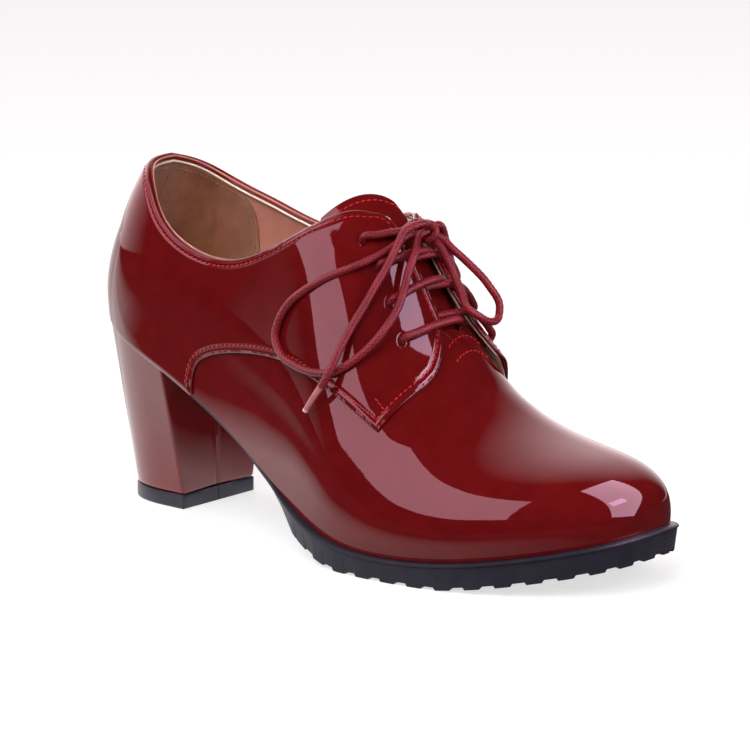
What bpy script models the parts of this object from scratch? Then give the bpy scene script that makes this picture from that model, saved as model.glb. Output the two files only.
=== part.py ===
"""Lace-up shoe with a block heel, for the right foot, standing empty on its sole.

The toe points to +X, the inner side of the foot to +Y and up is +Z. Everything grows from
one function of the last, so that sole, wall, quarters, tongue and laces share its curves.
Lengths are in millimetres here and become metres when the meshes are made.
"""

import math

import bmesh
import bpy
import numpy as np

MM = 0.001

# Driving dimensions
LENGTH = 238.0
BALL_WIDTH = 88.0
HEEL_SEAT = 68.0
CONE_TOP = 142.0
WALL = 1.5
QUARTER = 1.2
GAP = 0.3

# The last: one control row for each section, heel to toe. along, lateral and medial are the
# feather edge in shares of LENGTH and BALL_WIDTH, foot and top are the feather's and ridge's
# heights in shares of HEEL_SEAT and CONE_TOP, ridge is the ridge's place across. bulge is
# how far the side swells, side its height share and crown how flat the top is.
LAST_COLUMNS = ("along", "lateral", "medial", "foot", "top", "ridge", "bulge", "side", "crown")
LAST_UNITS = (LENGTH, BALL_WIDTH, BALL_WIDTH, HEEL_SEAT, CONE_TOP, 1.0, 1.0, 1.0, 1.0)
LAST_ROWS = (
    (0.000, 0.000, 0.000, 1.085, 1.000, 0.0, 0.0, 0.62, 0.85),
    (0.000, 0.170, 0.170, 1.085, 1.000, 0.0, 2.0, 0.62, 0.85),
    (0.055, 0.330, 0.318, 0.975, 1.000, 0.0, 2.0, 0.62, 0.80),
    (0.176, 0.340, 0.318, 0.822, 0.993, 0.0, 1.0, 0.60, 0.75),
    (0.328, 0.375, 0.307, 0.562, 0.986, 1.0, 0.5, 0.58, 0.70),
    (0.470, 0.466, 0.340, 0.268, 0.986, 3.0, 0.5, 0.54, 0.55),
    (0.563, 0.545, 0.386, 0.151, 0.817, 5.0, 1.5, 0.50, 0.45),
    (0.664, 0.557, 0.432, 0.118, 0.452, 6.0, 2.5, 0.55, 0.52),
    (0.798, 0.500, 0.443, 0.147, 0.330, 8.0, 3.0, 0.62, 0.62),
    (0.924, 0.330, 0.375, 0.235, 0.305, 9.0, 2.0, 0.68, 0.70),
    (0.992, 0.148, 0.250, 0.294, 0.250, 9.0, 0.8, 0.66, 0.72),
    (1.000, 0.000, 0.159, 0.309, 0.205, 9.0, 0.2, 0.60, 0.70),
    (1.000, -0.091, 0.091, 0.309, 0.148, 8.0, 0.0, 0.60, 0.70),
)
BACK_SWELL = 2.9
SWELL_REACH = 38.0
BACK_LEAN = 24.6
BACK_REACH = 70.0
NORMAL_LIMIT = 0.985
HEEL_END = 0.236
BACK_SEAM = 0.0006
WALL_ROWS = 9

# Heights of the collar's edge along the last, then the quarters' lower and front edges
COLLAR_ROWS = (
    (0.000, 131.6, 131.6),
    (0.050, 131.4, 128.0),
    (0.100, 127.8, 122.8),
    (0.140, 119.6, 119.4),
    (0.170, 111.6, 117.2),
    (0.215, 103.4, 114.4),
    (0.270, 99.6, 108.8),
    (0.310, 101.8, 106.6),
    (0.350, 108.0, 107.6),
    (0.385, 114.6, 112.0),
    (0.420, 120.8, 116.0),
    (0.445, 122.5, 118.5),
    (0.475, 119.0, 117.8),
)
LOWER_EDGE_ROWS = (
    (0.238, 0.000),
    (0.239, 0.040),
    (0.245, 0.085),
    (0.262, 0.125),
    (0.290, 0.170),
    (0.340, 0.230),
    (0.400, 0.280),
    (0.460, 0.310),
    (0.510, 0.348),
    (0.573, 0.400),
)
FRONT_LOW_ROWS = ((0.573, 0.400), (0.583, 0.507), (0.590, 0.606), (0.594, 0.700))
FRONT_HIGH_ROWS = ((0.560, 1.00), (0.576, 0.972), (0.588, 0.920), (0.594, 0.820))
COLLAR_END = 0.475
THROAT_END = 0.575
QUARTER_TIP = 0.594
FLAP_LIFT = 3.0

# Distance of the facings' edges from the ridge, lateral and medial, along the last
FACING_ROWS = (
    (0.460, 8.0, 5.0),
    (0.480, 8.0, 4.2),
    (0.500, 8.0, 3.2),
    (0.530, 8.0, 3.0),
    (0.555, 8.0, 5.0),
    (0.580, 8.0, 7.5),
)

# Outsole: thickness and ledge along the sole, then its cross lugs, spaced along the outer edge
SOLE_ROWS = (
    (40.0, 2.4, -0.6),
    (85.0, 2.2, -0.6),
    (100.0, 2.7, 0.3),
    (108.0, 4.8, 1.0),
    (116.0, 9.0, 1.8),
    (130.0, 9.8, 2.4),
    (170.0, 9.6, 2.5),
    (215.0, 9.5, 2.6),
    (238.0, 9.8, 2.6),
)
SOLE_DRAFT = 0.9
LIP_DROP = 1.2
LIP_OUT = 0.5
LUG_START = 80.4
LUG_PITCH = 10.9
LUG_LENGTH = 5.3
LUG_DEPTH = 1.4
LUG_FLANK = 0.7
LUG_COUNT = 14

# Heel and lift
BREAST = 40.0
LIFT_WIDTH = 40.0
LIFT_LENGTH = 34.8
LIFT_SIDE = 10.0
LIFT_HEIGHT = 5.6
SEAT_OUT = 1.0

INSOLE = 2.0
TONGUE = 1.5
TONGUE_DEPTH = 2.3
TONGUE_TOP = 0.457
TONGUE_FOOT = 0.602
TONGUE_ARC = 30.0
TONGUE_CORNER = 0.0611
TONGUE_TURN = 0.030

# Lace: eyelets along the last and round the section from the ridge, lateral and medial
LACE = 3.0
EYELETS = {
    -1: ((0.5531, 28.0), (0.5234, 26.3), (0.4946, 24.2), (0.4645, 24.4)),
    1: ((0.5660, 20.5), (0.5400, 20.5), (0.5130, 20.5), (0.4870, 20.5)),
}
EYELET_HOLE = 4.0
PUNCH_REACH = 7.0
LACE_LIFT = 3.3

# Where the strands from either side pass over the ridge, how they bend on the way, and how
# far they go on towards the opposite facing: distance, shift along the last and height
CROSS_RIDGE = {-1: (0.5685, 0.5360, 0.5135), 1: (0.5635, 0.5410, 0.5175)}
CROSS_BEND = {-1: 1.5, 1: 1.0}
CROSS_RISE = {-1: (1.8, 0.5), 1: (3.2, 0.5)}
CROSS_END = {-1: (-1.0, 0.0, 1.0), 1: (-3.5, -0.002, 1.6)}

# The strands from the top eyelets to the knot, then the knot itself
TIE_OUTER = ((0.4741, 19.6, 3.5), (0.4835, 14.1, 3.6), (0.4891, 10.2, 3.7))
TIE_INNER = ((0.4900, 14.0, 3.5), (0.4915, 8.0, 3.6))
TIE = (0.4900, 0.0, 3.2)
KNOT = (0.5005, -1.4, 6.0)
KNOT_SIZE = (3.8, 4.8, 4.2)
CORD_STEP = 7.0

# Routes of the bow's cords: share along, share up the section, height over the last
LOOP_OUTER = (
    (0.4957, 0.885, 5.6),
    (0.4943, 0.807, 4.9),
    (0.4864, 0.720, 3.6),
    (0.4744, 0.649, 3.4),
    (0.4574, 0.583, 3.4),
    (0.4351, 0.515, 3.4),
    (0.4119, 0.453, 3.4),
    (0.3960, 0.408, 3.4),
    (0.3830, 0.351, 3.4),
    (0.3804, 0.309, 3.4),
    (0.3946, 0.287, 3.4),
    (0.4232, 0.297, 3.4),
    (0.4648, 0.335, 3.4),
    (0.4882, 0.372, 3.4),
    (0.5133, 0.452, 3.4),
    (0.5256, 0.521, 4.6),
    (0.5319, 0.604, 6.3),
    (0.5312, 0.692, 6.6),
    (0.5239, 0.760, 6.4),
    (0.5173, 0.805, 6.6),
    (0.5110, 0.855, 7.4),
)
END_OUTER = (
    (0.4955, 0.935, 10.6),
    (0.4918, 0.845, 8.9),
    (0.4951, 0.806, 8.2),
    (0.5003, 0.742, 6.4),
    (0.5018, 0.662, 5.0),
    (0.5014, 0.585, 4.6),
    (0.4985, 0.513, 5.0),
    (0.4968, 0.451, 6.2),
    (0.4954, 0.395, 7.0),
    (0.4923, 0.359, 6.8),
    (0.4800, 0.310, 5.6),
    (0.4525, 0.233, 2.8),
)
END_INNER = (
    (0.4960, 0.925, 7.2),
    (0.4995, 0.800, 5.2),
    (0.5010, 0.700, 3.8),
    (0.5010, 0.600, 3.5),
    (0.5005, 0.430, 3.4),
    (0.494, 0.310, 3.4),
    (0.474, 0.215, 3.4),
)
# The standing loop leaves the surface, so its route is in places along, across and up
LOOP_INNER = (
    (142.4, 9.0, 110.9),
    (145.2, 10.2, 108.0),
    (148.4, 13.3, 103.9),
    (156.0, 18.0, 94.6),
    (159.3, 20.2, 87.4),
    (159.3, 19.2, 82.6),
    (159.7, 14.5, 82.3),
    (158.9, 8.2, 85.4),
    (156.6, 4.9, 88.4),
    (153.0, 6.2, 93.4),
    (149.0, 6.7, 99.5),
    (146.4, 6.2, 104.7),
    (143.3, 5.6, 109.4),
)

COLOURS = {
    "patent": ((0.24, 0.012, 0.016), 0.08),
    "lining": ((0.55, 0.36, 0.26), 0.6),
    "rubber": ((0.012, 0.012, 0.014), 0.45),
    "lace": ((0.32, 0.02, 0.04), 0.45),
}


def bspline(rows, at):
    """Clamped uniform cubic B-spline of control rows, read at shares 0 to 1."""
    rows = np.asarray(rows, float)
    at = np.clip(np.atleast_1d(np.asarray(at, float)), 0.0, 1.0)
    spans = len(rows) - 3
    knots = np.concatenate([np.zeros(3), np.linspace(0, 1, spans + 1), np.ones(3)])
    span = np.minimum((at * spans).astype(int), spans - 1) + 3
    level = [rows[span - 3 + i] for i in range(4)]
    for depth in range(1, 4):
        for i in range(3, depth - 1, -1):
            low = knots[span - 3 + i]
            high = knots[span + 1 + i - depth]
            share = ((at - low) / (high - low))[:, None]
            level[i] = (1 - share) * level[i - 1] + share * level[i]
    return level[3]


def curve_value(rows, at, column=1):
    """A table column as a smooth function of its first column."""
    dense = bspline(rows, np.linspace(0, 1, 400))
    return np.interp(at, dense[:, 0], dense[:, column])


def section(s):
    """The last's named section values at shares s along it."""
    values = bspline(np.asarray(LAST_ROWS) * LAST_UNITS, s)
    return {name: values[:, i] for i, name in enumerate(LAST_COLUMNS)}


def last_point(s, t, side):
    """Points on the last: s heel to toe, t feather to ridge, side -1 lateral or 1 medial."""
    s, t = np.broadcast_arrays(np.atleast_1d(np.asarray(s, float)), t)
    shape = s.shape
    cut = section(s.ravel())
    edge = cut["medial"] if side > 0 else -cut["lateral"]
    rise = cut["top"] - cut["foot"]
    across = (
        edge,
        edge + side * 2 * cut["bulge"],
        cut["ridge"] + (edge - cut["ridge"]) * cut["crown"],
        cut["ridge"],
    )
    up = (cut["foot"], cut["foot"] + rise * cut["side"], cut["top"], cut["top"])
    t = t.ravel()
    weights = ((1 - t) ** 3, 3 * (1 - t) ** 2 * t, 3 * (1 - t) * t**2, t**3)
    y = sum(w * v for w, v in zip(weights, across))
    z = sum(w * v for w, v in zip(weights, up))
    h = np.clip((z - cut["foot"]) / np.maximum(rise, 1.0), 0.0, 1.2)
    swell = BACK_SWELL * np.cos(math.pi / 2 * np.clip((h - 0.12) / 0.38, -1, 1))
    lean = BACK_LEAN * np.clip((h - 0.12) / 0.88, 0, 1) ** 1.7
    x = cut["along"] + lean * np.clip(1 - cut["along"] / BACK_REACH, 0, 1) ** 1.5
    x = x - swell * np.clip(1 - cut["along"] / SWELL_REACH, 0, 1) ** 1.5
    return np.stack([x, y, z], -1).reshape(*shape, 3)


def last_normal(s, t, side):
    """Outward unit normals of the last."""
    step = 1e-3
    s, t = np.broadcast_arrays(np.clip(np.asarray(s, float), 0, NORMAL_LIMIT), t)
    along = last_point(s + step, t, side) - last_point(np.maximum(s - step, 0), t, side)
    up = last_point(s, np.minimum(t + step, 1), side) - last_point(s, np.maximum(t - step, 0), side)
    normal = np.cross(along, up) * -side
    return normal / np.linalg.norm(normal, axis=-1, keepdims=True)


def lifted(s, t, side, lift):
    """Points at a height over the last's surface."""
    lift = np.asarray(lift, float)
    return last_point(s, t, side) + last_normal(s, t, side) * lift[..., None]


def section_share(s, side, measure, wanted):
    """For each s, the t at which a measure of the section reaches the wanted value."""
    dense = np.linspace(1.0, 0.0, 160)
    found = []
    for value, goal in zip(np.atleast_1d(s), np.broadcast_to(wanted, np.shape(np.atleast_1d(s)))):
        points = last_point(np.full(dense.shape, value), dense, side)
        found.append(np.interp(goal, measure(points), dense))
    return np.array(found)


def arc_from_ridge(points):
    return np.concatenate([[0.0], np.cumsum(np.linalg.norm(np.diff(points, axis=0), axis=1))])


def share_at_arc(s, side, arc):
    """t at a distance round the section from the ridge."""
    return section_share(s, side, arc_from_ridge, arc)


def share_at_height(s, side, height):
    """t at a height over the floor."""
    return section_share(s, side, lambda points: -points[:, 2], -height)


def collar_share(s, side):
    """t of the collar's edge."""
    return share_at_height(s, side, curve_value(COLLAR_ROWS, s, 1 if side < 0 else 2))


def facing_share(s, side):
    """t of the facing's edge beside the throat."""
    return share_at_arc(s, side, curve_value(FACING_ROWS, s, 1 if side < 0 else 2))


def top_share(s, side):
    """t of the wall's upper edge: the collar, then the facing."""
    return np.where(s < COLLAR_END, np.minimum(collar_share(s, side), facing_share(s, side)),
                    facing_share(s, side))


def quarter_low(s):
    """t of the quarter's lower edge: the feather, the lapped edge, then the rounded front."""
    lapped = curve_value(LOWER_EDGE_ROWS, s)
    front = curve_value(FRONT_LOW_ROWS, s)
    return np.where(s < LOWER_EDGE_ROWS[0][0], 0.0, np.where(s < FRONT_LOW_ROWS[0][0], lapped, front))


def quarter_high(s, side):
    """t of the quarter's upper edge, rounded off at its front."""
    front = curve_value(FRONT_HIGH_ROWS, s)
    return top_share(s, side) * np.where(s < FRONT_HIGH_ROWS[0][0], 1.0, front)


def flap_lift(s, t, side):
    """How far the medial facing's free end stands off the vamp."""
    if side < 0:
        return np.zeros(np.broadcast(s, t).shape)
    along = np.clip((s - 0.50) / (QUARTER_TIP - 0.50), 0, 1) ** 2
    return FLAP_LIFT * along * np.clip((t - 0.40) / 0.30, 0, 1)


def material_of(name):
    found = bpy.data.materials.get(name)
    if found:
        return found
    colour, roughness = COLOURS[name]
    made = bpy.data.materials.new(name)
    made.use_nodes = True
    shader = made.node_tree.nodes["Principled BSDF"]
    shader.inputs["Base Color"].default_value = (*colour, 1.0)
    shader.inputs["Roughness"].default_value = roughness
    return made


class Mesher:
    """Gathers the points and faces of one closed solid."""

    def __init__(self):
        self.points = []
        self.faces = []

    def grid(self, points):
        """Adds a grid of points, joined by quads, and gives back its indices."""
        rows, columns = points.shape[:2]
        index = np.arange(rows * columns).reshape(rows, columns) + len(self.points)
        self.points.extend(points.reshape(-1, 3))
        self.strip_faces(index)
        return index

    def strip_faces(self, index):
        for a, b in zip(index[:-1], index[1:]):
            for i in range(len(a) - 1):
                self.faces.append((a[i], a[i + 1], b[i + 1], b[i]))

    def slab(self, outer, inner):
        """A sheet with thickness, closed at its four borders."""
        top = self.grid(outer)
        under = self.grid(inner)
        for upper, lower in (
            (top[0], under[0]),
            (top[-1], under[-1]),
            (top[:, 0], under[:, 0]),
            (top[:, -1], under[:, -1]),
        ):
            self.strip_faces(np.stack([upper, lower]))

    def tube(self, points, radius, sides=8):
        """A round cord along points, closed at both ends."""
        points = np.asarray(points)
        run = np.gradient(points, axis=0)
        run /= np.linalg.norm(run, axis=1, keepdims=True)
        first = np.cross(run[0], (0.0, 0.0, 1.0))
        frame = first / np.linalg.norm(first)
        turns = np.linspace(0, 2 * math.pi, sides, endpoint=False)
        rings = []
        for place, ahead in zip(points, run):
            frame = frame - ahead * np.dot(frame, ahead)
            frame /= np.linalg.norm(frame)
            other = np.cross(ahead, frame)
            rings.append(place + radius * (np.outer(np.cos(turns), frame) + np.outer(np.sin(turns), other)))
        rings = np.array(rings)
        index = self.grid(np.concatenate([rings, rings[:, :1]], 1))
        self.faces.append(tuple(index[0][:-1]))
        self.faces.append(tuple(index[-1][:-1]))

    def build(self, name, material, origin, weld=0.02):
        """The object, welded where its borders share points, with its faces turned out."""
        mesh = bpy.data.meshes.new(name)
        shape = bmesh.new()
        points = [shape.verts.new((np.asarray(p) - origin) * MM) for p in self.points]
        for face in self.faces:
            shape.faces.new([points[i] for i in face])
        bmesh.ops.remove_doubles(shape, verts=shape.verts, dist=weld * MM)
        bmesh.ops.triangulate(shape, faces=shape.faces)
        bmesh.ops.recalc_face_normals(shape, faces=shape.faces)
        shape.to_mesh(mesh)
        shape.free()
        mesh.shade_smooth()
        mesh.set_sharp_from_angle(angle=math.radians(35))
        mesh.materials.append(material_of(material))
        made = bpy.data.objects.new(name, mesh)
        bpy.context.scene.collection.objects.link(made)
        return made


def toe_pole(depth):
    """The toe's tip on the feather edge, moved in by a depth."""
    return last_point([1.0], 0.0, 1)[0] - np.array([depth, 0.0, 0.0])


def heel_columns():
    """Shares along the last round the heel, closer together at its back."""
    return HEEL_END * np.linspace(0, 1, 15) ** 1.45


def make_upper():
    """The vamp's wall: from the feather up to collar and throat, closed over the toe."""
    back = np.concatenate([heel_columns(), np.linspace(HEEL_END, COLLAR_END, 10)[1:]])
    facing = np.linspace(COLLAR_END, THROAT_END, 6)[1:-1]
    toe = np.linspace(THROAT_END, NORMAL_LIMIT, 17)
    along = np.concatenate([back, facing, toe])
    rise = np.linspace(0.0, 1.0, WALL_ROWS)
    mesher = Mesher()
    for side in (-1, 1):
        top = np.where(along < THROAT_END, top_share(along, side), 1.0)
        s = np.broadcast_to(along[:, None], (len(along), len(rise)))
        t = top[:, None] * rise
        skins = []
        for depth in (0.0, WALL):
            skin = lifted(s, t, side, np.full(s.shape, -depth))
            pole = np.broadcast_to(toe_pole(depth), (1, len(rise), 3))
            skins.append(mesher.grid(np.concatenate([skin, pole])))
        outer, inner = skins
        mesher.strip_faces(np.stack([outer[:, 0], inner[:, 0]]))
        opening = len(back) + len(facing) + 1
        mesher.strip_faces(np.stack([outer[:opening, -1], inner[:opening, -1]]))
    return mesher


def make_quarter(side):
    """One quarter with its facing, standing proud of the wall."""
    along = np.concatenate([
        np.maximum(heel_columns(), BACK_SEAM),
        np.linspace(0.2385, 0.262, 5),
        np.linspace(0.275, 0.560, 15),
        np.linspace(0.567, QUARTER_TIP - 0.0005, 7),
    ])
    rise = np.linspace(0.0, 1.0, WALL_ROWS)
    low = quarter_low(along)
    high = quarter_high(along, side)
    s = np.broadcast_to(along[:, None], (len(along), len(rise)))
    t = low[:, None] + (high - low)[:, None] * rise
    lift = flap_lift(s, t, side) + GAP
    mesher = Mesher()
    mesher.slab(lifted(s, t, side, lift + QUARTER), lifted(s, t, side, lift))
    return mesher


def feather(s, side, out):
    """Feather edge in plan, moved out along its own normal."""
    step = 1e-3
    points = last_point(s, 0.0, side)
    ahead = last_point(np.minimum(s + step, 1), 0.0, side)
    behind = last_point(np.maximum(s - step, 0), 0.0, side)
    run = (ahead - behind)[:, :2]
    run /= np.linalg.norm(run, axis=1, keepdims=True)
    normal = np.stack([run[:, 1], -run[:, 0]], 1) * -side
    moved = points.copy()
    moved[:, :2] += normal * np.asarray(out)[:, None]
    return moved


def shares_at(places):
    """The s at which the feather edge reaches each place along X."""
    s = np.linspace(0, 1, 1500)
    return np.interp(places, section(s)["along"], s)


def sole_edge(s):
    """Thickness of the sole, and its ledge beyond the feather edge, at shares along the last."""
    places = section(s)["along"]
    sole = np.asarray(SOLE_ROWS)
    return np.interp(places, sole[:, 0], sole[:, 1]), np.interp(places, sole[:, 0], sole[:, 2])


def lug_shares():
    """Shares along the last of the lugs' four corners each, even along the sole's outer edge."""
    s = np.linspace(shares_at([BREAST + GAP])[0], 1.0, 1200)
    edge = feather(s, -1, sole_edge(s)[1] - SOLE_DRAFT)
    corners = np.array([-LUG_FLANK, 0.0, LUG_LENGTH, LUG_LENGTH + LUG_FLANK])
    starts = LUG_START + LUG_PITCH * np.arange(LUG_COUNT)
    return np.interp((starts[:, None] + corners).ravel(), arc_from_ridge(edge[:, :2]), s)


def lug_rise(s):
    """Height of the underside over the lugs' ends at shares along the last."""
    levels = np.tile([LUG_DEPTH, 0.0, 0.0, LUG_DEPTH], LUG_COUNT)
    return np.interp(s, lug_shares(), levels, left=0.0, right=LUG_DEPTH)


def make_outsole():
    """Sole from the heel's breast to the toe: ledge, side, lip and lugged underside."""
    plain = np.concatenate([shares_at(np.linspace(BREAST + GAP, 112.0, 11)), [0.992]])
    along = np.sort(np.concatenate([plain, lug_shares()]))
    thick, ledge = sole_edge(along)
    top = section(along)["foot"] - GAP
    under = np.maximum(top - thick, 0.0)
    tip = toe_pole(-SOLE_ROWS[-1][2])
    rings = []
    for side in (-1, 1):
        rim = feather(along, side, ledge)
        lip = feather(along, side, ledge + LIP_OUT * np.clip(ledge, 0, 1))
        foot = feather(along, side, ledge - SOLE_DRAFT)
        rim[:, 2] = top
        lip[:, 2] = top - LIP_DROP
        foot[:, 2] = under + lug_rise(along)
        low = SOLE_ROWS[-1][1] - LUG_DEPTH
        tips = [tip - (0, 0, GAP), tip + (LIP_OUT, 0, -GAP - LIP_DROP), tip - (SOLE_DRAFT, 0, GAP + low)]
        side_ring = np.stack([rim, lip, foot], 1)
        rings.append(np.concatenate([side_ring, np.array(tips)[None]]))
    outer, inner = rings
    loop = np.concatenate([outer, inner[:, ::-1], outer[:, :1]], 1)
    mesher = Mesher()
    index = mesher.grid(loop)
    mesher.faces.append(tuple(index[0][:-1]))
    return mesher


def heel_outline(count):
    """Shares along the feather from the breast back to the middle of the heel."""
    return shares_at([BREAST])[0] * (1 - np.linspace(0, 1, count) ** 0.8)


def lift_outline(count):
    """Lift's half outline from the breast's corner to the middle of its back, in plan."""
    turn = np.linspace(0, math.pi / 2, count - 2)
    back = BREAST - LIFT_SIDE - (LIFT_LENGTH - LIFT_SIDE) * np.sin(turn) ** 0.9
    half = LIFT_WIDTH / 2 * np.cos(turn) ** 0.75
    straight = np.array([[BREAST, LIFT_WIDTH / 2], [BREAST - LIFT_SIDE / 2, LIFT_WIDTH / 2]])
    return np.concatenate([straight, np.stack([back, half], 1)])


def make_heel():
    """Block heel, lofted from the seat's outline down to the lift's."""
    count = 14
    shares = heel_outline(count)
    low = lift_outline(count)
    mesher = Mesher()
    walls = []
    for side in (-1, 1):
        seat = feather(shares, side, np.full(count, SEAT_OUT))
        seat[:, 2] -= 1.5 * GAP
        seat[0, 0] = BREAST
        base = np.column_stack([low[:, 0], low[:, 1] * side, np.full(count, LIFT_HEIGHT + GAP)])
        walls.append(np.array([base + (seat - base) * level for level in (0.0, 0.5, 1.0)]))
    outer, inner = (mesher.grid(wall) for wall in walls)
    mesher.strip_faces(np.stack([outer[:, 0], inner[:, 0]], 1))
    for level in (0, -1):
        mesher.strip_faces(np.stack([outer[level], inner[level]], 1))
    return mesher


def make_lift():
    """Rubber lift under the heel, standing flat on the floor."""
    low = lift_outline(14)
    mesher = Mesher()
    walls = []
    for side in (-1, 1):
        rows = [np.column_stack([low[:, 0], low[:, 1] * side, np.full(len(low), z)])
                for z in (0.0, LIFT_HEIGHT)]
        walls.append(mesher.grid(np.array(rows)))
    outer, inner = walls
    mesher.strip_faces(np.stack([outer[:, 0], inner[:, 0]], 1))
    for level in (0, -1):
        mesher.strip_faces(np.stack([outer[level], inner[level]], 1))
    return mesher


def make_insole():
    """Sock and board inside the wall, on the sole and the heel."""
    along = np.linspace(0.004, 0.96, 34)
    inset = np.full(len(along), -(WALL + 2 * GAP))
    foot = section(along)["foot"]
    rows = []
    for side in (-1, 1):
        edge = feather(along, side, inset)
        for height in ((GAP / 3, INSOLE) if side < 0 else (INSOLE, GAP / 3)):
            level = edge.copy()
            level[:, 2] = foot + height
            rows.append(level)
    loop = np.stack([*rows, rows[0]], 1)
    mesher = Mesher()
    index = mesher.grid(loop)
    mesher.faces.append(tuple(index[0][:-1]))
    mesher.faces.append(tuple(index[-1][:-1]))
    return mesher


def make_tongue():
    """Tongue from under the vamp's throat up past the facings, bent round the ridge."""
    across = np.linspace(-1, 1, 13)
    rise = np.linspace(0, 1, 11)
    skins = []
    for depth in (TONGUE_DEPTH, TONGUE_DEPTH + TONGUE):
        columns = []
        for share in across:
            side = -1 if share < 0 else 1
            turned = TONGUE_TURN * min(share / 0.15, 1.0)
            top = TONGUE_TOP + (-TONGUE_CORNER * abs(share) ** 0.9 if share < 0 else turned)
            s = TONGUE_FOOT + (top - TONGUE_FOOT) * rise
            t = share_at_arc(s, side, abs(share) * TONGUE_ARC)
            columns.append(lifted(s, t, side, np.full(s.shape, -depth)))
        skins.append(np.array(columns))
    mesher = Mesher()
    mesher.slab(*skins)
    return mesher


def over_last(rows, side):
    """Places of route rows given as shares along and up the last and heights over it."""
    rows = np.asarray(rows)
    return lifted(rows[:, 0], rows[:, 1], side, rows[:, 2])


def by_arc(s, arc, lift):
    """A place over the last at a signed distance round the section from the ridge."""
    side = -1 if arc < 0 else 1
    t = share_at_arc(s, side, abs(arc))
    return lifted(np.array([s]), t, side, np.array([lift]))[0]


def smooth_route(points, step):
    """Even steps along a smooth curve through the route's points."""
    points = np.asarray(points, float)
    reach = arc_from_ridge(points)
    slope = np.gradient(points, reach, axis=0)
    at = np.linspace(0, reach[-1], 600)
    i = np.clip(np.searchsorted(reach, at, side="right") - 1, 0, len(points) - 2)
    span = (reach[i + 1] - reach[i])[:, None]
    u = ((at - reach[i]) / span[:, 0])[:, None]
    dense = (
        (2 * u**3 - 3 * u**2 + 1) * points[i]
        + (u**3 - 2 * u**2 + u) * span * slope[i]
        + (3 * u**2 - 2 * u**3) * points[i + 1]
        + (u**3 - u**2) * span * slope[i + 1]
    )
    length = arc_from_ridge(dense)
    even = np.linspace(0, length[-1], max(3, round(length[-1] / step) + 1))
    return np.stack([np.interp(even, length, dense[:, k]) for k in range(3)], 1)


def cross_route(level, side):
    """A strand from an eyelet over its own facing, down towards the opposite facing's edge."""
    start, reach = EYELETS[side][level]
    ridge = CROSS_RIDGE[side][level]
    stand = flap_lift(np.array([start]), np.array([1.0]), side)[0]
    loose = flap_lift(np.array([start]), np.array([1.0]), 1)[0]
    route = []
    for arc in (reach, 0.7 * reach, 0.4 * reach):
        s = ridge + (start - ridge) * (arc / reach) ** CROSS_BEND[side]
        route.append(by_arc(s, side * arc, LACE_LIFT + stand))
    rise, share = CROSS_RISE[side]
    route.append(by_arc(ridge, 0.0, rise + share * loose))
    arc, shift, lift = CROSS_END[side]
    route.append(by_arc(ridge + shift, side * arc, lift))
    return route


def tie_route(side):
    """A strand from the top eyelet to the middle of the throat, where the knot is tied."""
    middle = TIE_OUTER if side < 0 else TIE_INNER
    rows = ((*EYELETS[side][-1], LACE_LIFT), *middle, TIE)
    return [by_arc(s, side * arc, lift) for s, arc, lift in rows]


def make_strands(routes):
    """Strand solids that meet, to be joined into one."""
    made = []
    for route in routes:
        mesher = Mesher()
        mesher.tube(smooth_route(route, 4.5), LACE / 2)
        made.append(mesher)
    return made


def make_punch(side):
    """Round cutters through a facing and the wall under it, one for each eyelet."""
    mesher = Mesher()
    for s, arc in EYELETS[side]:
        ends = [by_arc(s, side * arc, lift) for lift in (-PUNCH_REACH, PUNCH_REACH)]
        mesher.tube(ends, EYELET_HOLE / 2, sides=10)
    return mesher


def make_knot():
    """The bow's knot as one rounded lump on the throat."""
    centre = by_arc(*KNOT)
    turn = np.linspace(0, 2 * math.pi, 13)
    rise = np.linspace(-math.pi / 2, math.pi / 2, 8)
    grid = np.stack([
        np.outer(np.cos(rise), np.cos(turn)),
        np.outer(np.cos(rise), np.sin(turn)),
        np.outer(np.sin(rise), np.ones(len(turn))),
    ], -1)
    mesher = Mesher()
    mesher.grid(centre + grid * KNOT_SIZE)
    return mesher


def make_cord(name, points, origin):
    """A round cord through the points of its route."""
    data = bpy.data.curves.new(name, "CURVE")
    data.dimensions = "3D"
    data.bevel_depth = LACE / 2 * MM
    data.bevel_resolution = 2
    data.use_fill_caps = True
    line = data.splines.new("POLY")
    line.points.add(len(points) - 1)
    for point, place in zip(line.points, points):
        point.co = (*((place - origin) * MM), 1.0)
    data.materials.append(material_of("lace"))
    made = bpy.data.objects.new(name, data)
    bpy.context.scene.collection.objects.link(made)
    return made


def combine(target, other, operation):
    """Joins or cuts one solid with another, which is kept out of sight."""
    step = target.modifiers.new(operation.lower(), "BOOLEAN")
    step.operation = operation
    step.solver = "EXACT"
    step.object = other
    other.hide_render = True
    other.display_type = "WIRE"


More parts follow.
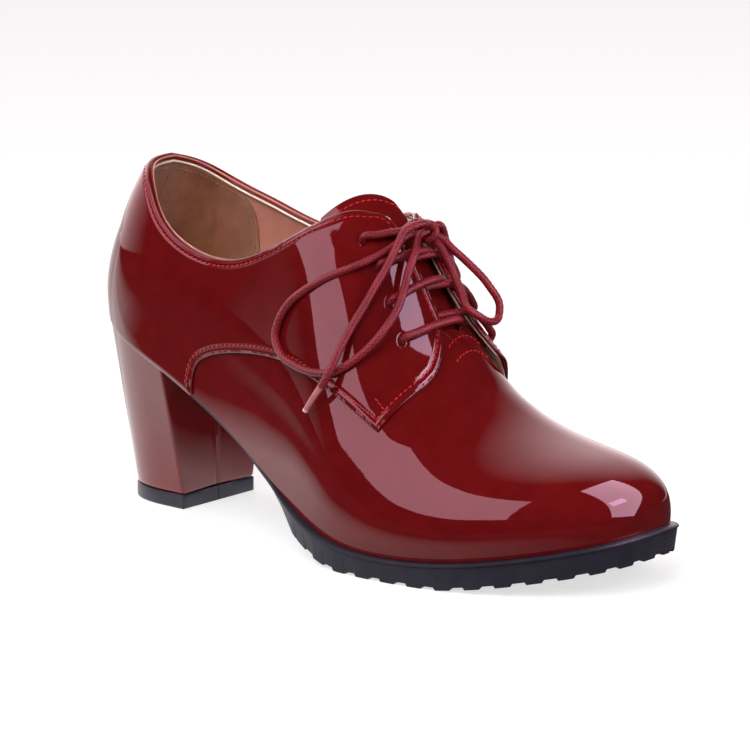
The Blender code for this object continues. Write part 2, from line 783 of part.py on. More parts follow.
def main():
    for old in list(bpy.data.objects):
        bpy.data.objects.remove(old)
    solids = {
        "upper": (make_upper(), "patent"),
        "quarter_outer": (make_quarter(-1), "patent"),
        "quarter_inner": (make_quarter(1), "patent"),
        "outsole": (make_outsole(), "rubber"),
        "heel_block": (make_heel(), "patent"),
        "top_lift": (make_lift(), "rubber"),
        "insole": (make_insole(), "lining"),
        "tongue": (make_tongue(), "patent"),
    }
    cloud = np.concatenate([np.array(mesher.points) for mesher, _ in solids.values()])
    middle = (cloud.min(axis=0) + cloud.max(axis=0)) / 2
    origin = np.array([middle[0], middle[1], 0.0])
    made = {
        name: mesher.build(name, material, origin) for name, (mesher, material) in solids.items()
    }
    for side, quarter in ((-1, "quarter_outer"), (1, "quarter_inner")):
        punch = make_punch(side).build(f"punch_{quarter}", "patent", origin)
        combine(made[quarter], punch, "DIFFERENCE")
        combine(made["upper"], punch, "DIFFERENCE")

    crossings = [[cross_route(level, side) for side in (-1, 1)] for level in range(3)]
    crossings.append([tie_route(side) for side in (-1, 1)])
    for level, routes in enumerate(crossings, 1):
        first, second = make_strands(routes)
        crossing = first.build(f"lace_cross_{level}", "lace", origin)
        combine(crossing, second.build(f"strand_{level}", "lace", origin), "UNION")

    make_knot().build("lace_knot", "lace", origin)
    routes = {
        "lace_loop_outer": over_last(LOOP_OUTER, -1),
        "lace_end_outer": over_last(END_OUTER, -1),
        "lace_end_inner": over_last(END_INNER, 1),
        "lace_loop_inner": np.asarray(LOOP_INNER),
    }
    for name, route in routes.items():
        make_cord(name, smooth_route(route, CORD_STEP), origin)


main()
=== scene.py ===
"""Looks of a lace-up block-heel shoe in dark red patent leather, for the right foot.

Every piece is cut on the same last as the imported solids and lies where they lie. Sizes are in
millimetres, measured from the back of the heel, and become metres in the row frame when a mesh
is made.
"""

import logging
import math
from collections.abc import Callable, Sequence
from dataclasses import dataclass, field
from enum import Enum

import bmesh
import bpy
import numpy as np
from mathutils import Matrix, Vector, geometry


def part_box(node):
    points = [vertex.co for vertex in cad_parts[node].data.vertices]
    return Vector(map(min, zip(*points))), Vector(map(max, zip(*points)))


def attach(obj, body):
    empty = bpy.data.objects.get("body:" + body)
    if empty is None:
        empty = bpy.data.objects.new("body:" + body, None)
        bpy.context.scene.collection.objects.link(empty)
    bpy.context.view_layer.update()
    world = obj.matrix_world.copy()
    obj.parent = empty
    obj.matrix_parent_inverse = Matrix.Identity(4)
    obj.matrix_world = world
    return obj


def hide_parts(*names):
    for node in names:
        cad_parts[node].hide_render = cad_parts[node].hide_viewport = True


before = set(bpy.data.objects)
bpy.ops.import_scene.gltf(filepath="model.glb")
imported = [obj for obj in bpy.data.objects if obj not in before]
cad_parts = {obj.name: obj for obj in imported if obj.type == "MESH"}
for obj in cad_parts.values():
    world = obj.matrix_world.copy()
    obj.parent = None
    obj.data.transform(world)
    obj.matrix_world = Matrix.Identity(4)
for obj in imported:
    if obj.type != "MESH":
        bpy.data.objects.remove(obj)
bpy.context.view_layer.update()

log = logging.getLogger("shoe")
Array = np.ndarray
MM = 0.001
BODY = "root"
BREAST = 40.0  # front of the heel and of its lift
TINY = 1e-12
CURVE_SAMPLES = 400
ROUTE_SAMPLES = 900
SECTION_SAMPLES = 160
EDGE_SAMPLES = 1500
DISTANCE_BATCH = 4000


class Side(Enum):
    """The two sides of the foot, as signs across the last."""

    OUTER = -1
    INNER = 1


SIDES = tuple(side.value for side in Side)


def ease(x: Array | float, low: float, high: float) -> Array:
    """Smooth step from 0 at low to 1 at high."""
    u = np.clip((np.asarray(x, float) - low) / (high - low), 0.0, 1.0)
    return u * u * (3 - 2 * u)


def unit(v: Array) -> Array:
    """Vectors brought to length one."""
    return v / np.maximum(np.linalg.norm(v, axis=-1, keepdims=True), TINY)


def run_lengths(points: Array) -> Array:
    """Distance along a polyline at each of its points."""
    return np.concatenate([[0.0], np.cumsum(np.linalg.norm(np.diff(points, axis=0), axis=1))])


def read_along(at: Array | float, reach: Array, table: Array) -> Array:
    """A table's rows, read at distances along it."""
    return np.stack([np.interp(at, reach, column) for column in table.T], -1)


def resample(points: Array, step: float) -> Array:
    """Even steps along a polyline, both ends kept."""
    reach = run_lengths(points)
    even = np.linspace(0, reach[-1], max(3, round(reach[-1] / step) + 1))
    return read_along(even, reach, points)


def turn_corner(start: Array, corner: Array, end: Array, count: int) -> Array:
    """A curve from start to end that leaves and arrives along the lines to a corner."""
    u = np.linspace(0, 1, count)[:, None]
    return (1 - u) ** 2 * start + 2 * u * (1 - u) * corner + u**2 * end


def bspline(rows: Sequence, at: Array | float) -> Array:
    """Clamped uniform cubic B-spline of control rows.

    Args:
        rows: Control rows, one column for each value.
        at: Shares from 0 to 1 at which to read the spline.

    Returns:
        One row of values for each share.
    """
    rows = np.asarray(rows, float)
    at = np.clip(np.atleast_1d(np.asarray(at, float)), 0.0, 1.0)
    spans = len(rows) - 3
    knots = np.concatenate([np.zeros(3), np.linspace(0, 1, spans + 1), np.ones(3)])
    span = np.minimum((at * spans).astype(int), spans - 1) + 3
    level = [rows[span - 3 + i] for i in range(4)]
    for depth in range(1, 4):
        for i in range(3, depth - 1, -1):
            low = knots[span - 3 + i]
            share = ((at - low) / (knots[span + 1 + i - depth] - low))[:, None]
            level[i] = (1 - share) * level[i - 1] + share * level[i]
    return level[3]


def curve_value(rows: Sequence, at: Array, column: int = 1) -> Array:
    """A table column as a smooth function of the table's first column."""
    dense = bspline(rows, np.linspace(0, 1, CURVE_SAMPLES))
    return np.interp(at, dense[:, 0], dense[:, column])


def smooth_route(points: Sequence, step: float) -> Array:
    """Even steps along a smooth curve through a route's points."""
    points = np.asarray(points, float)
    reach = run_lengths(points)
    slope = np.gradient(points, reach, axis=0)
    at = np.linspace(0, reach[-1], ROUTE_SAMPLES)
    i = np.clip(np.searchsorted(reach, at, side="right") - 1, 0, len(points) - 2)
    span = (reach[i + 1] - reach[i])[:, None]
    u = ((at - reach[i]) / span[:, 0])[:, None]
    dense = (
        (2 * u**3 - 3 * u**2 + 1) * points[i]
        + (u**3 - 2 * u**2 + u) * span * slope[i]
        + (3 * u**2 - 2 * u**3) * points[i + 1]
        + (u**3 - u**2) * span * slope[i + 1]
    )
    return resample(dense, step)


@dataclass(frozen=True)
class Last:
    """The last: s runs heel to toe, t from the feather edge up to the ridge on either side."""

    length: float = 238.0
    ball_width: float = 88.0
    heel_seat: float = 68.0
    cone_top: float = 142.0
    back_swell: float = 2.9
    swell_reach: float = 38.0
    back_lean: float = 24.6
    back_reach: float = 70.0
    swell_middle: float = 0.12
    swell_half: float = 0.38
    lean_power: float = 1.7
    fade_power: float = 1.5
    normal_limit: float = 0.985
    probe: float = 1e-3
    columns: tuple = ("along", "lateral", "medial", "foot", "top", "ridge", "bulge", "side", "crown")
    rows: tuple = (
        (0.000, 0.000, 0.000, 1.085, 1.000, 0.0, 0.0, 0.62, 0.85),
        (0.000, 0.170, 0.170, 1.085, 1.000, 0.0, 2.0, 0.62, 0.85),
        (0.055, 0.330, 0.318, 0.975, 1.000, 0.0, 2.0, 0.62, 0.80),
        (0.176, 0.340, 0.318, 0.822, 0.993, 0.0, 1.0, 0.60, 0.75),
        (0.328, 0.375, 0.307, 0.562, 0.986, 1.0, 0.5, 0.58, 0.70),
        (0.470, 0.466, 0.340, 0.268, 0.986, 3.0, 0.5, 0.54, 0.55),
        (0.563, 0.545, 0.386, 0.151, 0.817, 5.0, 1.5, 0.50, 0.45),
        (0.664, 0.557, 0.432, 0.118, 0.452, 6.0, 2.5, 0.55, 0.52),
        (0.798, 0.500, 0.443, 0.147, 0.330, 8.0, 3.0, 0.62, 0.62),
        (0.924, 0.330, 0.375, 0.235, 0.305, 9.0, 2.0, 0.68, 0.70),
        (0.992, 0.148, 0.250, 0.294, 0.250, 9.0, 0.8, 0.66, 0.72),
        (1.000, 0.000, 0.159, 0.309, 0.205, 9.0, 0.2, 0.60, 0.70),
        (1.000, -0.091, 0.091, 0.309, 0.148, 8.0, 0.0, 0.60, 0.70),
    )

    def section(self, s: Array) -> dict[str, Array]:
        """The named section values at shares s along the last."""
        units = (self.length, self.ball_width, self.ball_width, self.heel_seat, self.cone_top)
        values = bspline(np.asarray(self.rows) * (*units, 1.0, 1.0, 1.0, 1.0), s)
        return {name: values[:, i] for i, name in enumerate(self.columns)}

    def point(self, s: Array, t: Array | float, side: int) -> Array:
        """Points on the last.

        Args:
            s: Shares heel to toe.
            t: Shares from the feather edge to the ridge.
            side: -1 on the outer side of the foot, 1 on the inner.

        Returns:
            Points in millimetres from the heel's back.
        """
        s, t = np.broadcast_arrays(np.atleast_1d(np.asarray(s, float)), t)
        shape = s.shape
        cut = self.section(s.ravel())
        edge = cut["medial"] if side > 0 else -cut["lateral"]
        rise = cut["top"] - cut["foot"]
        across = (
            edge,
            edge + side * 2 * cut["bulge"],
            cut["ridge"] + (edge - cut["ridge"]) * cut["crown"],
            cut["ridge"],
        )
        up = (cut["foot"], cut["foot"] + rise * cut["side"], cut["top"], cut["top"])
        t = t.ravel()
        weights = ((1 - t) ** 3, 3 * (1 - t) ** 2 * t, 3 * (1 - t) * t**2, t**3)
        y = sum(w * v for w, v in zip(weights, across))
        z = sum(w * v for w, v in zip(weights, up))
        h = np.clip((z - cut["foot"]) / np.maximum(rise, 1.0), 0.0, 1.2)
        over = h - self.swell_middle
        swell = self.back_swell * np.cos(math.pi / 2 * np.clip(over / self.swell_half, -1, 1))
        lean = self.back_lean * np.clip(over / (1 - self.swell_middle), 0, 1) ** self.lean_power
        x = cut["along"] + lean * np.clip(1 - cut["along"] / self.back_reach, 0, 1) ** self.fade_power
        x = x - swell * np.clip(1 - cut["along"] / self.swell_reach, 0, 1) ** self.fade_power
        return np.stack([x, y, z], -1).reshape(*shape, 3)

    def normal(self, s: Array, t: Array | float, side: int) -> Array:
        """Outward unit normals of the last."""
        step = self.probe
        s, t = np.broadcast_arrays(np.clip(np.asarray(s, float), 0, self.normal_limit), t)
        along = self.point(s + step, t, side) - self.point(np.maximum(s - step, 0), t, side)
        up = self.point(s, np.minimum(t + step, 1), side)
        up = up - self.point(s, np.maximum(t - step, 0), side)
        return unit(np.cross(along, up) * -side)

    def lifted(self, s: Array, t: Array | float, side: int, lift: Array | float) -> Array:
        """Points at a height over the last's surface."""
        s, t = np.broadcast_arrays(np.atleast_1d(np.asarray(s, float)), t)
        lift = np.broadcast_to(np.asarray(lift, float), s.shape)
        return self.point(s, t, side) + self.normal(s, t, side) * lift[..., None]

    def share_where(self, s: Array, side: int, measure: Callable, wanted: Array | float) -> Array:
        """For each s, the t at which a measure of the section reaches the wanted value.

        Args:
            s: Shares along the last.
            side: -1 outer, 1 inner.
            measure: Turns one section's points, ridge first, into rising values.
            wanted: The value to reach, for all or for each s.

        Returns:
            One t for each s.
        """
        s = np.atleast_1d(np.asarray(s, float))
        dense = np.linspace(1.0, 0.0, SECTION_SAMPLES)
        sections = self.point(s[:, None], dense[None, :], side)
        goals = np.broadcast_to(wanted, s.shape)
        return np.array([np.interp(g, measure(p), dense) for g, p in zip(goals, sections)])

    def share_at_arc(self, s: Array, side: int, arc: Array | float) -> Array:
        """t at a distance round the section from the ridge."""
        return self.share_where(s, side, run_lengths, arc)

    def share_at_height(self, s: Array, side: int, height: Array) -> Array:
        """t at a height over the floor."""
        return self.share_where(s, side, lambda points: -points[:, 2], -np.asarray(height))

    def over(self, rows: Sequence, side: int) -> Array:
        """Places of route rows given as shares along and up the last and heights over it."""
        rows = np.asarray(rows, float)
        return self.lifted(rows[:, 0], rows[:, 1], side, rows[:, 2])

    def by_arc(self, s: float, arc: float, lift: float) -> Array:
        """A place over the last at a signed distance round the section from the ridge."""
        side = -1 if arc < 0 else 1
        t = self.share_at_arc(np.array([s]), side, abs(arc))
        return self.lifted(np.array([s]), t, side, lift)[0]

    def shares_at(self, places: Array | Sequence) -> Array:
        """The s at which the feather edge reaches each place along the shoe."""
        s = np.linspace(0, 1, EDGE_SAMPLES)
        return np.interp(places, self.section(s)["along"], s)

    def feather(self, s: Array, side: int, out: Array | float) -> Array:
        """Feather edge, moved out in plan along its own normal."""
        step = self.probe
        points = self.point(s, 0.0, side)
        run = self.point(np.minimum(s + step, 1), 0.0, side)
        run = unit((run - self.point(np.maximum(s - step, 0), 0.0, side))[:, :2])
        moved = points.copy()
        normal = np.stack([run[:, 1], -run[:, 0]], 1) * -side
        moved[:, :2] += normal * np.broadcast_to(out, s.shape)[:, None]
        return moved


LAST = Last()


def row_origin() -> Array:
    """The row frame's origin in millimetres from the heel's back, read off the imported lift."""
    low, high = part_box("top_lift")
    return np.array([BREAST - high.x / MM, -(low.y + high.y) / 2 / MM, 0.0])


ORIGIN = row_origin()


def to_row(points: Array) -> Array:
    """Millimetres from the heel's back to metres in the row frame."""
    return (np.asarray(points, float) - ORIGIN) * MM


@dataclass(frozen=True)
class Pattern:
    """Edges of the cut pieces on the last.

    Rows of facing and collar hold s, then the outer and the inner side's distance from the ridge or
    height over the floor. Eyelets hold s and the distance from the ridge, other edges s and t.
    """

    collar_end: float = 0.475
    throat_end: float = 0.575
    quarter_tip: float = 0.594
    wing_back: float = 0.238
    front_top: float = 0.560
    drop_fade: float = 0.445
    facing: tuple = (
        (0.460, 8.0, 5.0),
        (0.480, 8.0, 4.2),
        (0.500, 8.0, 3.2),
        (0.530, 8.0, 3.0),
        (0.555, 8.0, 5.0),
        (0.580, 8.0, 7.5),
    )
    flap_height: float = 3.0
    flap_from: float = 0.50
    flap_low: float = 0.40
    flap_span: float = 0.30
    eyelets_outer: tuple = ((0.5531, 28.0), (0.5234, 26.3), (0.4946, 24.2), (0.4645, 24.4))
    eyelets_inner: tuple = ((0.5660, 20.5), (0.5400, 20.5), (0.5130, 20.5), (0.4870, 20.5))
    eyelet_radius: float = 1.95
    collar: tuple = (
        (0.000, 131.6, 131.6),
        (0.050, 131.4, 128.0),
        (0.100, 127.8, 122.8),
        (0.140, 119.6, 119.4),
        (0.170, 111.6, 117.2),
        (0.215, 103.4, 114.4),
        (0.270, 99.6, 108.8),
        (0.310, 101.8, 106.6),
        (0.350, 108.0, 107.6),
        (0.385, 114.6, 112.0),
        (0.420, 120.8, 116.0),
        (0.445, 122.5, 118.5),
        (0.475, 119.0, 117.8),
    )
    lower_edge: tuple = (
        (0.238, 0.000),
        (0.239, 0.040),
        (0.245, 0.085),
        (0.262, 0.125),
        (0.290, 0.170),
        (0.340, 0.230),
        (0.400, 0.280),
        (0.460, 0.310),
        (0.510, 0.348),
        (0.573, 0.400),
    )
    front_low: tuple = ((0.573, 0.400), (0.583, 0.507), (0.590, 0.606), (0.594, 0.700))
    front_high: tuple = ((0.560, 1.00), (0.576, 0.972), (0.588, 0.920), (0.594, 0.820))

    def collar_share(self, s: Array, side: int, drop: float = 0.0) -> Array:
        """t of the collar's edge, or of a line a little under it."""
        heights = curve_value(self.collar, s, 1 if side < 0 else 2)
        fade = 1 - ease(s, self.drop_fade, self.collar_end)
        return LAST.share_at_height(s, side, heights - drop * fade)

    def facing_share(self, s: Array, side: int) -> Array:
        """t of the facing's edge beside the throat."""
        return LAST.share_at_arc(s, side, curve_value(self.facing, s, 1 if side < 0 else 2))

    def top_share(self, s: Array, side: int, drop: float = 0.0) -> Array:
        """t of the wall's upper edge: the collar, then the facing."""
        facing = self.facing_share(s, side)
        collar = np.minimum(self.collar_share(s, side, drop), facing)
        return np.where(s < self.collar_end, collar, facing)

    def flap_lift(self, s: Array, t: Array, side: int) -> Array:
        """How far the inner facing's free end stands off the vamp."""
        s, t = np.broadcast_arrays(s, t)
        if side < 0:
            return np.zeros(s.shape)
        along = np.clip((s - self.flap_from) / (self.quarter_tip - self.flap_from), 0, 1) ** 2
        return self.flap_height * along * np.clip((t - self.flap_low) / self.flap_span, 0, 1)

    def eyelets(self, side: int) -> tuple:
        """s of the eyelets and their distances from the ridge, toe end first."""
        return self.eyelets_outer if side < 0 else self.eyelets_inner

    def eyelet_places(self, side: int) -> Array:
        """s and t of the eyelets' middles."""
        s, arc = np.array(self.eyelets(side)).T
        return np.stack([s, LAST.share_at_arc(s, side, arc)], 1)


PATTERN = Pattern()


def keep_values(mesh: bpy.types.Mesh, name: str, values: Array) -> None:
    """Keeps a number or a vector for each point on a mesh."""
    vector = values.ndim == 2
    kept = mesh.attributes.new(name, "FLOAT_VECTOR" if vector else "FLOAT", "POINT")
    kept.data.foreach_set("vector" if vector else "value", values.astype(np.float32).ravel())


class Shell:
    """Gathers points, normals and faces of one piece and makes its mesh."""

    weld = 0.012
    sliver = 0.002

    def __init__(self) -> None:
        """Starts empty."""
        self.points: list[Array] = []
        self.normals: list[Array] = []
        self.faces: list[tuple] = []
        self.marks: list[int] = []
        self.count = 0

    def add(self, points: Array, normals: Array | None = None) -> Array:
        """Adds points of any grid shape.

        Args:
            points: Places in millimetres.
            normals: Unit normals of the same shape, or none to let the mesh shade itself.

        Returns:
            Indices in the grid's shape.
        """
        flat = points.reshape(-1, 3)
        self.points.append(flat)
        self.normals.append(np.zeros_like(flat) if normals is None else normals.reshape(-1, 3))
        index = np.arange(len(flat)).reshape(points.shape[:-1]) + self.count
        self.count += len(flat)
        return index

    def quads(self, index: Array, mark: int = 0) -> None:
        """Joins a grid of indices by quads."""
        a, b = index[:-1, :-1].ravel(), index[:-1, 1:].ravel()
        c, d = index[1:, 1:].ravel(), index[1:, :-1].ravel()
        self.faces.extend(zip(a.tolist(), b.tolist(), c.tolist(), d.tolist()))
        self.marks.extend([mark] * len(a))

    def polygons(self, faces: Array) -> None:
        """Adds faces by their indices, in the first material."""
        self.faces.extend(map(tuple, faces.tolist()))
        self.marks.extend([0] * len(faces))

    def closed(self, rings: Array, normals: Array | None = None) -> None:
        """Joins a stack of closed outlines and caps both ends."""
        index = self.add(rings, normals)
        self.quads(np.concatenate([index, index[:, :1]], 1))
        for end in (0, -1):
            self.polygons(index[end][None])

    def join(self, other: "Shell") -> None:
        """Takes over all of another shell."""
        self.faces += [tuple(i + self.count for i in face) for face in other.faces]
        self.points += other.points
        self.normals += other.normals
        self.marks += other.marks
        self.count += other.count

    def _mesh(self, name: str, materials: Sequence, extra: str, values: Array, weld: bool) -> bpy.types.Mesh:
        """The mesh, turned outwards, with one value for each point kept on it.

        Args:
            name: The piece's name.
            materials: Materials in the order of the marks.
            extra: Name of the kept value.
            values: A number or a vector for each point.
            weld: Whether points in one place become one.

        Returns:
            The new mesh.
        """
        mesh = bpy.data.meshes.new(name)
        mesh.from_pydata(to_row(np.concatenate(self.points)).tolist(), [], self.faces)
        mesh.polygons.foreach_set("material_index", self.marks)
        keep_values(mesh, extra, values)
        shape = bmesh.new()
        shape.from_mesh(mesh)
        if weld:
            bmesh.ops.remove_doubles(shape, verts=shape.verts, dist=self.weld * MM)
            bmesh.ops.dissolve_degenerate(shape, edges=shape.edges, dist=self.sliver * MM)
        bmesh.ops.recalc_face_normals(shape, faces=shape.faces)
        shape.to_mesh(mesh)
        shape.free()
        for material in materials:
            mesh.materials.append(material)
        mesh.shade_smooth()
        return mesh

    def build(self, name: str, materials: Sequence, slot: str, sharp: float = 35.0) -> bpy.types.Object:
        """Makes the object, welded, turned outwards and riding on the shoe.

        Args:
            name: The piece's name.
            materials: Materials in the order of the marks.
            slot: The record's material slot. Not used.
            sharp: Angle in degrees over which an edge stays sharp, where no normals are given.

        Returns:
            The new object.
        """
        mesh = self._mesh(name, materials, "lay", np.concatenate(self.normals), True)
        wanted = np.zeros(len(mesh.vertices) * 3, np.float32)
        mesh.attributes["lay"].data.foreach_get("vector", wanted)
        mesh.attributes.remove(mesh.attributes["lay"])
        wanted = wanted.reshape(-1, 3)
        if np.linalg.norm(wanted, axis=1).min() > 0.5:
            if sum(face.normal.dot(Vector(wanted[face.vertices[0]])) for face in mesh.polygons) < 0:
                mesh.flip_normals()
            mesh.normals_split_custom_set_from_vertices(unit(wanted).tolist())
        else:
            mesh.set_sharp_from_angle(angle=math.radians(sharp))
        return seat(bpy.data.objects.new(name, mesh), slot)

    def build_cord(self, name: str, high: Array) -> bpy.types.Object:
        """Makes a cord's object, unwelded, with how far each point stands out kept on the mesh."""
        mesh = self._mesh(name, [CORD.material()], "relief", high, False)
        return seat(bpy.data.objects.new(name, mesh), "lace")


def seat(piece: bpy.types.Object, slot: str) -> bpy.types.Object:
    """Links a finished piece and lets it ride on the shoe."""
    bpy.context.scene.collection.objects.link(piece)
    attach(piece, BODY)
    log.info("%s: %d faces", piece.name, len(piece.data.polygons))
    return piece


class Skin:
    """A surface over the last at a height that may vary, on one side of the foot."""

    probe = 1.5e-3
    toe_limit = 0.9985

    def __init__(self, side: int, height: Callable[[Array, Array], Array]) -> None:
        """Keeps the side and the height over the last as a function of s and t."""
        self.side = side
        self.height = height

    def point(self, s: Array, t: Array) -> Array:
        """Points of the surface."""
        return LAST.lifted(s, t, self.side, self.height(s, t))

    def slopes(self, s: Array, t: Array) -> tuple[Array, Array]:
        """Derivatives of the surface along s and t."""
        s0, s1 = np.maximum(s - self.probe, 0.0), np.minimum(s + self.probe, self.toe_limit)
        t0, t1 = np.maximum(t - self.probe, 0.0), np.minimum(t + self.probe, 1.0)
        along = (self.point(s1, t) - self.point(s0, t)) / (s1 - s0)[..., None]
        up = (self.point(s, t1) - self.point(s, t0)) / (t1 - t0)[..., None]
        return along, up

    def normal(self, s: Array, t: Array) -> Array:
        """Outward unit normals of the surface."""
        along, up = self.slopes(s, t)
        return unit(np.cross(along, up) * -self.side)


@dataclass
class Edge:
    """One run of a panel's outline, with the distance of its stitch row, or 0 for none."""

    points: Array
    margin: float = 0.0


class Panel:
    """A piece of leather cut on the last, with rounded edges, punched holes and sewn margins."""

    plane = np.array([238.0, 90.0])
    rim_steps = 7
    outline_step = 1.0
    stitch_step = 0.6
    row_offsets = (0.45, 0.9, 1.4, 1.85, 2.2, 2.6, 3.0, 3.45, 4.1)
    row_clear = 0.86
    grid_clear = 4.9
    groove_width = 0.62
    roll_width = 1.3
    roll_depth = 0.3
    thread_lift = 0.10
    thread_sink = 0.75
    thread_clear = 0.9

    def __init__(
        self,
        skin: Skin,
        edges: Sequence[Edge],
        thickness: float,
        holes: Sequence[Array] = (),
        step: float = 1.6,
        groove: float = 0.26,
    ) -> None:
        """Takes the surface, the outline in order round the panel, and the leather's sizes.

        Args:
            skin: The panel's outer surface.
            edges: Runs of the outline in s and t, end to end.
            thickness: Leather thickness in millimetres.
            holes: Closed outlines of punched holes in s and t.
            step: Spacing of the mesh's inner points in millimetres.
            groove: Depth to which a stitch row pulls the leather in.
        """
        self.skin, self.edges, self.thickness = skin, list(edges), thickness
        self.step, self.groove = step, groove
        cuts = [(self._outline(), 1)] + [(np.asarray(hole) * self.plane, -1) for hole in holes]
        self.loops = [loop if _area(loop) * turn > 0 else loop[::-1] for loop, turn in cuts]
        self.frame_points = [self.lay(loop)[0] for loop in self.loops]

    def _outline(self) -> Array:
        """The outline at even steps, corners kept, in the plane of the cut."""
        parts, margins = [], []
        for edge in self.edges:
            run = resample(np.asarray(edge.points) * self.plane, self.outline_step)[:-1]
            parts.append(run)
            margins.append(np.full(len(run), edge.margin))
        loop = np.concatenate(parts)
        self.margins = np.concatenate(margins)
        if _area(loop) < 0:
            self.margins = self.margins[::-1]
        return loop

    def lay(self, flat: Array) -> tuple[Array, Array]:
        """Points and normals of the surface at places in the plane of the cut."""
        s, t = (flat / self.plane).T
        return self.skin.point(s, t), self.skin.normal(s, t)

    def _across(self, places: Array, run: Array) -> Array:
        """Steps square to a run, to its left, in the plane of the cut, one millimetre of surface long."""
        along, up = self.skin.slopes(*(places / self.plane).T)
        share = run / self.plane
        path = along * share[:, :1] + up * share[:, 1:]
        left = np.stack([-np.sum(up * path, 1), np.sum(along * path, 1)], 1)
        length = np.linalg.norm(along * left[:, :1] + up * left[:, 1:], axis=1)
        return left / length[:, None] * self.plane

    def _inward(self, loop: Array) -> Array:
        """Vectors in the plane of the cut, one millimetre of surface long, into the leather."""
        run = unit(np.roll(loop, -1, 0) - loop)
        return self._across(loop, unit(run + np.roll(run, 1, 0)))

    def _in_leather(self, flat: Array) -> Array:
        """Which places in the plane of the cut lie in the leather."""
        inside = _inside(flat, self.loops[0])
        for hole in self.loops[1:]:
            inside &= ~_inside(flat, hole)
        return inside

    def _clear(self, flat: Array, distance: float) -> Array:
        """Those places that lie in the leather, at least a distance from every edge."""
        flat = flat[self._in_leather(flat)]
        points = self.lay(flat)[0]
        near = np.full(len(flat), np.inf)
        for loop in self.frame_points:
            near = np.minimum(near, _edge_distance(points, loop)[0])
        return flat[near > distance]

    def _cut(self) -> tuple[Array, Array]:
        """Places of all points in the plane of the cut, and the triangles between them."""
        rows = [
            self._clear(loop + self._inward(loop) * offset, offset * self.row_clear)
            for loop in self.loops
            for offset in self.row_offsets
        ]
        low, high = self.loops[0].min(0), self.loops[0].max(0)
        xs = np.arange(low[0], high[0], self.step)
        ys = np.arange(low[1], high[1], self.step * 0.87)
        grid = np.stack(np.meshgrid(xs, ys), -1)
        grid[1::2, :, 0] += self.step / 2
        flat = np.concatenate([*self.loops, *rows, self._clear(grid.reshape(-1, 2), self.grid_clear)])
        edges, start = [], 0
        for loop in self.loops:
            index = np.arange(len(loop)) + start
            edges.extend(zip(index.tolist(), np.roll(index, -1).tolist()))
            start += len(loop)
        made = geometry.delaunay_2d_cdt([Vector(p) for p in flat], edges, [], 0, 1e-5)
        places = np.array([list(v) for v in made[0]])
        faces = np.array([f for f in made[2] if len(f) == 3])
        self.border = np.full(start, -1)
        for i, sources in enumerate(made[3]):
            for source in sources:
                if source < start:
                    self.border[source] = i
        return places, faces[self._in_leather(places[faces].mean(1))]

    def _relief(self, points: Array) -> tuple[Array, Array]:
        """Height of the sewn margin's groove and rolled edge, and its slope away from the edge."""
        distance, nearest, margin = np.full(len(points), np.inf), points.copy(), np.zeros(len(points))
        for i, loop in enumerate(self.frame_points):
            found, place, index = _edge_distance(points, loop)
            closer = found < distance
            distance = np.where(closer, found, distance)
            nearest = np.where(closer[:, None], place, nearest)
            margin = np.where(closer, 0.0 if i else self.margins[index], margin)
        u = (distance - margin) / self.groove_width
        sewn = np.where(margin > 0, -self.groove * np.exp(-u * u), 0.0)
        slope = sewn * -2 * u / self.groove_width
        roll = np.clip(1 - distance / self.roll_width, 0, 1)
        height = sewn - self.roll_depth * roll**2
        slope = slope + 2 * self.roll_depth * roll / self.roll_width
        return height, slope[:, None] * unit(points - nearest)

    def shell(self) -> Shell:
        """The closed piece of leather: outer face, rounded rims and under face."""
        flat, faces = self._cut()
        points, normals = self.lay(flat)
        height, slope = self._relief(points)
        flesh = points - normals * self.thickness
        outer = points + normals * height[:, None]
        shading = unit(normals - slope)
        made = Shell()
        top = made.add(outer, shading)
        low = made.add(flesh, -normals)
        made.polygons(top[faces])
        made.polygons(low[faces])
        start = 0
        for loop in self.loops:
            index = self.border[start : start + len(loop)]
            start += len(loop)
            self._rim(made, outer[index], flesh[index], normals[index], top[index], low[index], loop)
        return made

    def _rim(self, made: Shell, high: Array, low: Array, normals: Array, top: Array, under: Array,
             loop: Array) -> None:
        """Rounds the edge over from the outer face to the under face."""
        share = -self._inward(loop) / self.plane
        along, up = self.skin.slopes(*(loop / self.plane).T)
        out = along * share[:, :1] + up * share[:, 1:]
        rings = [top, *round_over(made, (high, low), normals, out, self.rim_steps), under]
        made.quads(np.array([np.append(ring, ring[0]) for ring in rings]))

    def stitch_row(self, edge: int, pitch: float, offset: float | None = None) -> "StitchRow":
        """Stitches along one edge of the panel, inside its margin."""
        run = resample(np.asarray(self.edges[edge].points) * self.plane, self.stitch_step)
        distance = self.edges[edge].margin if offset is None else offset
        outline = np.concatenate([e.points[:-1] for e in self.edges]) * self.plane
        turn = 1.0 if _area(outline) > 0 else -1.0
        flat = run + self._across(run, unit(np.gradient(run, axis=0))) * turn * distance
        points, normals = self.lay(flat)
        far = _edge_distance(points, self.frame_points[0])[0] > self.thread_clear * distance
        points, normals = points[far], normals[far]
        lift = self.thread_lift - self.groove * self.thread_sink
        return StitchRow(points + normals * lift, normals, pitch)


def _area(loop: Array) -> float:
    """Signed area of a closed outline."""
    ahead = np.roll(loop, -1, 0)
    return float(np.sum(loop[:, 0] * ahead[:, 1] - ahead[:, 0] * loop[:, 1]) / 2)


def _inside(places: Array, loop: Array) -> Array:
    """Which places lie inside a closed outline."""
    x, y = places[:, :1], places[:, 1:]
    ax, ay = loop[:, 0], loop[:, 1]
    bx, by = np.roll(ax, -1), np.roll(ay, -1)
    rise = np.where(by == ay, TINY, by - ay)
    hit = ((ay > y) != (by > y)) & (x < (bx - ax) * (y - ay) / rise + ax)
    return hit.sum(1) % 2 == 1


